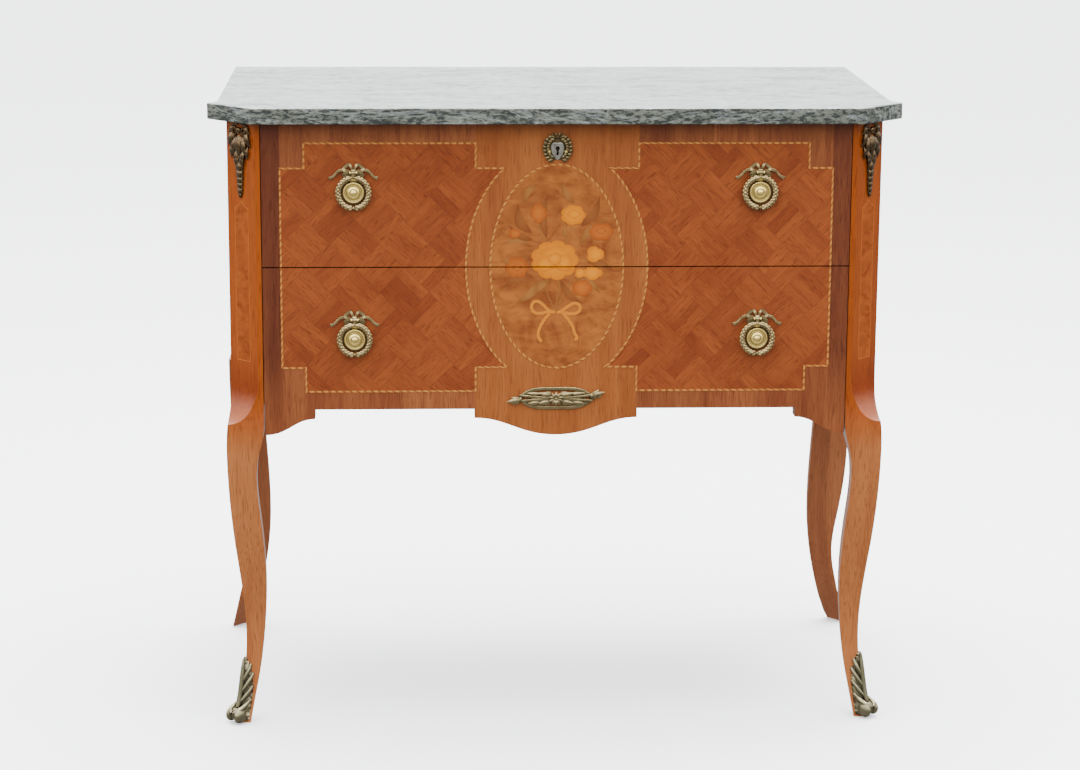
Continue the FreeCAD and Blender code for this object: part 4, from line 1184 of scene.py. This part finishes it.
def pullRing(name, centre, leaf):
    # Laurel wreath on a round core, its leaves running up both sides, bound with bands and hung from a barrel
    x, z = centre
    y = frontY - hinge["stand"]
    fresh()
    bpy.ops.mesh.primitive_torus_add(
        location=(x, y, z), rotation=alongY, major_radius=wreath["radius"],
        minor_radius=wreath["core"], major_segments=56, minor_segments=12,
    )
    pieces = [settle(named(name + "_core"))]
    first, span = wreath["leafSpan"]
    for side in (-1, 1):
        for i in range(wreath["steps"]):
            for out, splay, front in wreath["rows"]:
                turn = math.pi * (first + span * (i + (0.0 if out else 0.5)) / wreath["steps"])
                reach = wreath["radius"] + out
                sideways = side * reach * math.sin(turn)
                place = (x + sideways, y - wreath["core"] * front, z - reach * math.cos(turn))
                pieces.append(placed(leaf, name + "_leaf", place, side * (quarter - turn - splay), 0.1))
    for degrees in wreath["bands"]:
        turn = math.radians(degrees)
        fresh()
        bpy.ops.mesh.primitive_torus_add(
            location=(x + wreath["radius"] * math.cos(turn), y, z + wreath["radius"] * math.sin(turn)),
            rotation=(0, -turn, 0), major_radius=wreath["bandRadius"], minor_radius=wreath["bandThick"],
            major_segments=20, minor_segments=8,
        )
        pieces.append(settle(named(name + "_band")))
    radius, length = wreath["barrel"]
    fresh()
    bpy.ops.mesh.primitive_cylinder_add(
        vertices=20, radius=radius, depth=length, location=(x, y, z + hinge["rise"]), rotation=alongX,
    )
    pieces.append(softened(settle(named(name + "_barrel")), 0.0003))
    stemPath = [(x, z + height) for height in wreath["stemHeights"]]
    stem = layLine(
        name + "_stem", stemPath, wreath["stemWidth"], wreath["stemThick"], sink=0.0,
        depths=[wreath["stemDepth"]] * len(stemPath), taper=wreath["stemTaper"],
    )
    pieces.append(softened(stem, 0.0005))
    return joined(pieces, name)


def hangPulls():
    leaf = makeLeaf("laurelLeaf", *wreath["leaf"])
    for drawer in ("upper", "lower"):
        for hand in ("left", "right"):
            low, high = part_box(f"{drawer}_pull_ring_{hand}")
            centre = ((low.x + high.x) / 2, low.z + wreath["drop"] + wreath["radius"])
            tag = f"{drawer}_{hand}"
            plate = pullPlate("pull_boss_" + tag, centre)
            dress(plate, pullBrass, drawer + "_drawer", "brass", f"{drawer}_pull_plate_{hand}")
            # A backing disc in the bow's darker brass shows in the gap between ring and boss: painted shade,
            # partly tarnish
            rim = ellipsePath(boss["disc"], boss["disc"], centre, 48)
            disc = cutVeneer("pull_shade_disc", rim, boss["discThick"], sink=0.0)
            ties = ribbonBow("pull_bow_" + tag, centre, 1.0, 0.0004)
            ties.append(softened(disc, 0.0002))
            dress(joined(ties, "pull_bow_" + tag), wreathBrass, drawer + "_drawer", "brass")
            ring = pullRing("pull_wreath_" + tag, centre, leaf)
            dress(ring, wreathBrass, f"{drawer}_{hand}_ring", "brass", f"{drawer}_pull_ring_{hand}")
    discard(leaf)


hangPulls()
print("pulls hung")


# The dome's steps are (inset, push outwards); the branches' stems and leaves are spaced by angle
shield = {
    "outline": [
        (0.0, 0.0062), (0.0040, 0.0070), (0.0072, 0.0048), (0.0078, -0.0010),
        (0.0066, -0.0065), (0.0038, -0.0112), (0.0, -0.0140),
    ],
    "steps": [(0.0004, 0.0016), (0.0006, 0.0012), (0.0008, 0.0009), (0.0011, 0.0006), (0.0013, 0.0003)],
    "base": 0.0012, "keyRadius": 0.0026, "slotHalf": 0.0013, "slotDrop": 0.008, "keyDrop": 0.009,
    "cutDepth": 0.06,
    "backing": (0.0125, 0.0136), "backingThick": 0.0009, "branch": (0.0132, 0.0140),
    "stemTurns": [0.35 + 0.26 * i for i in range(10)], "stemWidth": 0.0018, "stemThick": 0.0014,
    "leafTurns": [0.38 + 0.28 * i for i in range(8)], "leafSplay": 0.65,
    "branchLeaf": (0.0068, 0.0042, 0.0012, 0.0008), "leafLean": 0.15,
    "crestSize": 0.56, "crestDrop": 0.0008, "crestBase": 0.0010,
}


def cutKeyhole(obj, x, z):
    fresh()
    bpy.ops.mesh.primitive_cylinder_add(
        vertices=24, radius=shield["keyRadius"], depth=shield["cutDepth"],
        location=(x, frontY, z), rotation=alongY,
    )
    cutter = settle(named("keyCutter"))
    for vertex in cutter.data.vertices:
        if vertex.co.z < z - shield["keyRadius"] * 0.9:
            vertex.co.z = z - shield["slotDrop"]
            vertex.co.x = x + math.copysign(shield["slotHalf"], vertex.co.x - x)
    applyModifier(obj, "BOOLEAN", operation="DIFFERENCE", object=cutter)
    discard(cutter)


def makeEscutcheon():
    # Domed shield with the keyhole, two laurel branches and a bow
    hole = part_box("lock_case")[1].z - shield["keyDrop"]
    half = smoothPath(shield["outline"], 1)
    outline = at((0, hole), half + [(-x, z) for x, z in reversed(half[1:-1])])
    plate = cutVeneer("escutcheon_shield", outline, shield["base"], sink=0.0)
    bpy.ops.object.mode_set(mode="EDIT")
    mesh = bmesh.from_edit_mesh(plate.data)
    for face in mesh.faces:
        face.select_set(face.normal.y < -0.9)
    bmesh.update_edit_mesh(plate.data)
    for inset, push in shield["steps"]:
        bpy.ops.mesh.inset(thickness=inset)
        bpy.ops.transform.translate(value=(0, -push, 0))
    bpy.ops.object.mode_set(mode="OBJECT")
    softened(plate, 0.0003)
    cutKeyhole(plate, 0.0, hole)
    finishMesh(plate, 40)
    leaf = makeLeaf("branchLeaf", *shield["branchLeaf"])
    rim = ellipsePath(*shield["backing"], (0, hole), 48)
    backing = cutVeneer("escutcheon_backing", rim, shield["backingThick"], sink=0.0)
    softened(backing, 0.0003)
    cutKeyhole(backing, 0.0, hole)
    pieces = [finishMesh(backing, 40)]
    wide, tall = shield["branch"]
    for side in (-1, 1):
        spine = [(side * wide * math.sin(turn), hole - tall * math.cos(turn)) for turn in shield["stemTurns"]]
        spine = smoothPath(spine, 1)
        stem = layLine("branch_stem", spine, shield["stemWidth"], shield["stemThick"], sink=0.0)
        pieces.append(softened(stem, 0.0003))
        for turn in shield["leafTurns"]:
            place = (side * wide * math.sin(turn), frontY - shield["stemThick"], hole - tall * math.cos(turn))
            for splay in (-shield["leafSplay"], shield["leafSplay"]):
                lie = side * (quarter - turn) + splay
                pieces.append(placed(leaf, "branch_leaf", place, lie, shield["leafLean"]))
    crest = (0, hole - shield["crestDrop"])
    pieces += ribbonBow("crest", crest, shield["crestSize"], shield["crestBase"], ("loop", "tail"))
    discard(leaf)
    dress(plate, shieldMetal, "upper_drawer", "brass", "escutcheon")
    dress(joined(pieces, "escutcheon_branches"), branchBrass, "upper_drawer", "brass")


makeEscutcheon()


# The frame is a quarter of its outline; sprays are (x, z, turn in degrees, size), tips are (side, z, turn)
apron = {
    "frame": [(0.0, 0.0114), (0.0190, 0.0114), (0.0290, 0.0100), (0.0380, 0.0056), (0.0440, 0.0)],
    "frameWidth": 0.0042, "frameThick": 0.0021, "shaftWidth": 0.0034, "shaftThick": 0.0018,
    "shaft": [
        (-0.0440, -0.0030, 0.0020, 0.8), (-0.022, -0.0014, 0.0024, 1.0), (0.0, 0.0, 0.0026, 1.0),
        (0.022, 0.0014, 0.0024, 1.0), (0.0440, 0.0040, 0.0020, 0.8),
    ],
    "sprays": [
        (0.0035, 0.0026, 78, 1.0), (0.0035, -0.0026, 102, 1.0),
        (0.0180, 0.0046, 84, 0.85), (0.0180, -0.0046, 96, 0.85),
        (0.0300, 0.0010, 74, 0.55), (0.0300, -0.0010, 106, 0.55),
        (0.0060, 0.0066, 96, 0.7), (0.0060, -0.0066, 84, 0.7),
    ],
    "leaf": (0.0205, 0.0062, 0.0024, 0.0014), "sprayRise": 0.0014,
    "tips": [(-1, -0.0012, 100), (1, 0.0030, 74)], "tipFan": [(0, 1.0), (-24, 0.7), (24, 0.7)],
    "tipLeaf": (0.0165, 0.0068, 0.0022, 0.0016), "tipReach": 0.0425, "tipRise": 0.0024,
    "collar": (0.0022, 0.0024, 0.0036), "petals": 10, "rosetteLeaf": (0.0092, 0.0056, 0.0022, 0.0010),
    "rosetteRise": 0.0036, "eye": (0.0028, 0.0020, 0.0028), "eyeRise": 0.0054,
}


def makeApronMount():
    # Ribbon frame round two sprays and crossed shafts, a rosette in the middle and torch tips at the ends
    low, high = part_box("apron_mount")
    middle = (low.z + high.z) / 2
    centre = (0.0, middle)
    over = smoothPath([(-x, z) for x, z in reversed(apron["frame"])] + apron["frame"][1:])
    under = [(-x, -z) for x, z in over[1:-1]]
    around = at(centre, over + under)
    rim = layLine("apron_frame", around, apron["frameWidth"], apron["frameThick"], True, sink=0.0)
    pieces = [softened(rim, 0.0007, 3)]
    for side in (-1, 1):
        shaft = strap("apron_shaft", centre, apron["shaft"], apron["shaftWidth"], apron["shaftThick"], side)
        pieces.append(shaft)
    leaf = makeLeaf("apronLeaf", *apron["leaf"])
    tipLeaf = makeLeaf("tipLeaf", *apron["tipLeaf"])
    rosetteLeaf = makeLeaf("rosetteLeaf", *apron["rosetteLeaf"])
    for x, z, turn, size in apron["sprays"]:
        for side in (-1, 1):
            place = (side * x, frontY - apron["sprayRise"], middle + z)
            pieces.append(placed(leaf, "apron_spray", place, math.radians(side * turn), 0.0, size))
    for side, z, turn in apron["tips"]:
        root = (side * apron["tipReach"], frontY - apron["tipRise"], middle + z)
        for splay, size in apron["tipFan"]:
            pieces.append(placed(tipLeaf, "apron_tip", root, math.radians(side * (turn + splay)), 0.0, size))
        pieces.append(ball("apron_collar", root, *apron["collar"], 0.12))
    for i in range(apron["petals"]):
        turn = 2 * math.pi * i / apron["petals"]
        place = (0, frontY - apron["rosetteRise"], middle)
        pieces.append(placed(rosetteLeaf, "rosette_leaf", place, turn, 0.25))
    pieces.append(ball("rosette_eye", (0, frontY - apron["eyeRise"], middle), *apron["eye"], 0.1))
    for blade in (leaf, tipLeaf, rosetteLeaf):
        discard(blade)
    dress(joined(pieces, "apron_ornament"), mountBrass, "lower_drawer", "brass", "apron_mount")


makeApronMount()
print("escutcheon and apron mount made")


# The right-hand post's canted face: a point at its middle, its turn in degrees, and the mount's upper end
cant = {"centre": (0.371, -0.177), "turn": 45, "top": 0.733}


def ontoCant():
    # From the drawer's plane to the right-hand canted post
    turn = Matrix.Rotation(math.radians(cant["turn"]), 4, "Z")
    return Matrix.Translation((*cant["centre"], 0)) @ turn @ Matrix.Translation((0, -frontY, 0))


def spiralPath(centre, size, side, turns=1.6, steps=26):
    path = []
    for i in range(steps + 1):
        share = i / steps
        reach = size * (1 - 0.82 * share)
        angle = quarter + side * share * turns * 2 * math.pi
        path.append((centre[0] + reach * math.cos(angle), centre[1] + reach * math.sin(angle)))
    return path


# Places are measured from the mount's upper end; the fan is (x, z, turn in degrees, size)
chute = {
    "leaf": (0.020, 0.0085, 0.0026, 0.0012), "husk": (0.015, 0.0068, 0.0022, 0.0012),
    "scroll": (0.0088, -0.0095), "scrollSize": 0.0072, "scrollWidth": 0.0024, "scrollThick": 0.0014,
    "scrollLead": [(0.002, -0.0012), (0.0055, -0.0018)], "scrollDepths": (0.0006, 0.0018),
    "fan": [
        (0.0, -0.014, 180, 1.35), (0.0055, -0.017, 164, 1.15), (0.0095, -0.011, 150, 1.0),
        (0.0115, -0.026, 172, 0.85), (0.0060, -0.032, 186, 0.9), (0.0075, -0.004, 128, 0.72),
        (0.0035, -0.036, 174, 0.95),
    ],
    "fanRise": 0.0008, "rimWidth": 0.0022, "rimThick": 0.0016, "edge": 0.0004,
    "rim": [(0.0145, -0.012), (0.0155, -0.024), (0.0105, -0.036), (0.0045, -0.046), (0.002, -0.058)],
    "husks": [(-0.045, 1.0), (-0.054, 0.9), (-0.062, 0.8), (-0.069, 0.72), (-0.0755, 0.66)],
    "huskFan": [(180, 0.0014), (157, 0.0006), (203, 0.0006)],
    "bud": (0.0022, 0.0016, 0.0034), "budPlace": (0.0016, -0.0855),
    "eye": (0.0036, 0.0022, 0.0040), "eyePlace": (0.0026, -0.0085),
}


def makeCornerMounts():
    # Pierced acanthus between two scrolls, running down into a drop of husks
    top = cant["top"]
    leaf = makeLeaf("acanthusLeaf", *chute["leaf"], lobes=3)
    husk = makeLeaf("huskLeaf", *chute["husk"])
    pieces = []
    nearest, deepening = chute["scrollDepths"]
    for side in (-1, 1):
        x, z = chute["scroll"]
        lead = at((0, top), [(side * leadX, leadZ) for leadX, leadZ in chute["scrollLead"]])
        curl = lead + spiralPath((side * x, top + z), chute["scrollSize"], -side)
        depths = [nearest + deepening * i / len(curl) for i in range(len(curl))]
        scroll = layLine(
            "chute_scroll", curl, chute["scrollWidth"], chute["scrollThick"], sink=0.0, depths=depths,
        )
        pieces.append(softened(scroll, chute["edge"]))
        rim = at((0, top), smoothPath([(side * x, z) for x, z in chute["rim"]]))
        rim = layLine("chute_rim", rim, chute["rimWidth"], chute["rimThick"], sink=0.0)
        pieces.append(softened(rim, chute["edge"]))
    for x, z, turn, size in chute["fan"]:
        for side in (-1, 1) if x else (1,):
            place = (side * x, frontY - chute["fanRise"], top + z)
            pieces.append(placed(leaf, "chute_leaf", place, math.radians(side * turn), 0.0, size))
    for z, size in chute["husks"]:
        for turn, rise in chute["huskFan"]:
            place = (0, frontY - rise, top + z)
            pieces.append(placed(husk, "chute_husk", place, math.radians(turn), 0.0, size))
    for part in ("bud", "eye"):
        rise, z = chute[part + "Place"]
        pieces.append(ball("chute_" + part, (0, frontY - rise, top + z), *chute[part], 0.1))
    for blade in (leaf, husk):
        discard(blade)
    right = joined(pieces, "corner_ornament_right")
    right.data.transform(ontoCant())
    left = mirroredCopy(right, "corner_ornament_left")
    dress(right, cornerBrass, "case", "brass", "corner_mount_right")
    dress(left, cornerBrass, "case", "brass", "corner_mount_left")


makeCornerMounts()


postInlay = {
    "halfWidth": 0.0113, "low": 0.449, "shoulder": 0.632, "neck": (0.45, 0.635), "peak": 0.6405,
    "lift": 0.0001, "line": 0.0011, "lineLift": 0.0002,
}


def layPostPanels():
    # Burr panel with a pale line round it on each canted post
    half, shoulder = postInlay["halfWidth"], postInlay["shoulder"]
    share, neck = postInlay["neck"]
    outline = [
        (-half, postInlay["low"]), (half, postInlay["low"]), (half, shoulder), (half * share, neck),
        (0, postInlay["peak"]), (-half * share, neck), (-half, shoulder),
    ]
    sheet = cutVeneer("post_burr_right", outline, postInlay["lift"])
    line = layLine("post_line_right", outline, postInlay["line"], postInlay["lineLift"], True)
    for piece, wood in ((sheet, postBurr), (line, blossomWood)):
        piece.data.transform(ontoCant())
        twin = mirroredCopy(piece, piece.name.replace("right", "left"))
        dress(piece, wood, "case", "leg_wood")
        dress(twin, wood, "case", "leg_wood")


layPostPanels()
print("posts dressed")


# Each lobe is (height at the spine, reach along the face, climb)
sabot = {
    "lobes": [(0.014, 0.0125, 0.014), (0.026, 0.0125, 0.018), (0.039, 0.0115, 0.020), (0.052, 0.0080, 0.018)],
    "lobeRadius": 0.0030, "lobeStart": 0.0010, "lobeSteps": 6, "spineSink": 0.0006,
    "spine": [
        (0.020, 0.0034), (0.032, 0.0032), (0.044, 0.0034), (0.056, 0.0034), (0.068, 0.0030), (0.079, 0.0014),
    ],
    "toeHeight": 0.0108, "toeInset": 0.0058, "toeHalf": 0.0074, "knob": (0.0048, 0.0088, 0.0088),
}


def makeSabots():
    # The cast shell with raised acanthus lobes off a corner spine, and a scrolled toe with knobbed ends
    shell = copyOf(nodes["sabot_right"], "sabot_cast_right")
    shell.parent = None
    finishMesh(shell, 40)
    legLow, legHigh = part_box("front_leg_right")
    corner = Vector((legHigh.x, legLow.y, 0))
    inward = Vector((-1, 1, 0)).normalized()
    across = Vector((1, 1, 0)).normalized()

    def surface(origin, direction):
        # Where a ray meets the shell, or the leg behind it
        for node in ("sabot_right", "front_leg_right"):
            found, place, _, _ = nodes[node].ray_cast(Vector(origin), Vector(direction))
            if found:
                return place

    def spine(height):
        return surface(corner - inward * 0.2 + Vector((0, 0, height)), inward)

    path = [tuple(spine(height) + inward * sabot["spineSink"]) for height, _ in sabot["spine"]]
    pieces = [shell, layRod("sabot_spine", path, [radius for _, radius in sabot["spine"]])]
    for height, reach, climb in sabot["lobes"]:
        for face in ("front", "side"):
            path, radii = [], []
            for i in range(sabot["lobeSteps"] + 1):
                share = i / sabot["lobeSteps"]
                level = height + climb * share ** 1.3
                root = spine(level)
                away = sabot["lobeStart"] + reach * share
                if face == "front":
                    spot = surface((root.x - away, -1, level), (0, 1, 0))
                else:
                    spot = surface((1, root.y + away, level), (-1, 0, 0))
                path.append(tuple(spot))
                swell = math.sin(math.pi * min(share * 0.8 + 0.1, 1))
                radii.append(sabot["lobeRadius"] * (0.55 + 0.45 * swell))
            pieces.append(layRod("sabot_lobe", path, radii))
            tip = radii[-1] * 1.1
            pieces.append(ball("sabot_lobe_tip", path[-1], tip, tip, tip))
    toe = spine(sabot["toeHeight"]) + inward * sabot["toeInset"]
    for side in (-1, 1):
        end = Matrix.Translation(toe + across * side * sabot["toeHalf"])
        knob = ball("sabot_knob", (0, 0, 0), *sabot["knob"])
        knob.data.transform(end @ Matrix.Rotation(math.radians(cant["turn"]), 4, "Z"))
        pieces.append(knob)
    right = joined(pieces, "sabot_cast_right")
    left = mirroredCopy(right, "sabot_cast_left")
    dress(right, footBrass, "case", "brass", "sabot_right")
    dress(left, footBrass, "case", "brass", "sabot_left")


makeSabots()
print("feet shod")


# Stage: pale floor, soft light and the camera at the picture's angle

# Lights are (name, place, size, power)
stage = {
    "floorSize": 80.0, "floorPale": (0.96, 0.965, 0.975, 1), "floorDeep": (0.945, 0.95, 0.96, 1),
    "sky": (0.96, 0.975, 1.0, 1), "roomGlow": 0.68, "skyGlow": 4.7, "skyBand": (0.0, 0.3),
    "sideGlow": (1.04, 0.82), "aim": (0, 0, 0.45),
    "lights": [("keyLight", (-2.2, -2.2, 3.4), 2.2, 8), ("topLight", (0.2, 0.3, 3.2), 2.4, 310)],
}


def layFloor():
    fresh()
    bpy.ops.mesh.primitive_plane_add(size=stage["floorSize"])
    floor = settle(named("floor"))
    material, tree, shader = newMaterial("paleFloor", Roughness=0.7)
    mottle = noise(tree, objectCoords(tree), 3.0, 2.0)
    color = mixColor(tree, mottle, stage["floorDeep"], stage["floorPale"])
    feed(tree, shader, Base_Color=color)
    floor.data.materials.append(material)
    # The floor takes shadows but throws no glare back at the brass
    floor.visible_diffuse = False
    floor.visible_glossy = False


def lightStudio():
    # A bright sky over a dimmer room, a little stronger from the left, and two soft lamps
    world = bpy.data.worlds.new("studio")
    bpy.context.scene.world = world
    world.use_nodes = True
    tree = world.node_tree
    ray = addNode(tree, "ShaderNodeTexCoord").outputs["Generated"]
    ray = addNode(tree, "ShaderNodeSeparateXYZ", {0: ray}).outputs
    glow = ranged(tree, ray["Z"], *stage["skyBand"], stage["roomGlow"], stage["skyGlow"])
    glow = mathNode(tree, "MULTIPLY", glow, ranged(tree, ray["X"], -1.0, 1.0, *stage["sideGlow"]))
    backdrop = tree.nodes["Background"]
    backdrop.inputs["Color"].default_value = stage["sky"]
    tree.links.new(glow, backdrop.inputs["Strength"])
    for name, place, size, power in stage["lights"]:
        fresh()
        bpy.ops.object.light_add(type="AREA", location=place)
        lamp = bpy.context.object
        lamp.name = name
        lamp.data.size = size
        lamp.data.energy = power
        aim = Vector(stage["aim"]) - Vector(place)
        lamp.rotation_euler = aim.to_track_quat("-Z", "Y").to_euler()


view = {
    "place": (-0.1716, -3.4919, 1.1644), "yaw": 0.0462, "pitch": 0.2215, "roll": 0.0054,
    "lens": 94.585, "sensor": 36.0,
}


def makeCamera():
    fresh()
    bpy.ops.object.camera_add(location=view["place"])
    camera = bpy.context.object
    camera.name = "photoCamera"
    camera.data.lens = view["lens"]
    camera.data.sensor_width = view["sensor"]
    camera.data.sensor_fit = "HORIZONTAL"
    turn = Matrix.Rotation(view["roll"], 3, "Y") @ Matrix.Rotation(view["pitch"], 3, "X")
    turn = turn @ Matrix.Rotation(view["yaw"], 3, "Z")
    right, ahead, up = turn
    axes = Matrix((right, up, -ahead)).transposed()
    camera.rotation_euler = axes.to_euler()
    bpy.context.scene.camera = camera


layFloor()
lightStudio()
makeCamera()
print("stage set")
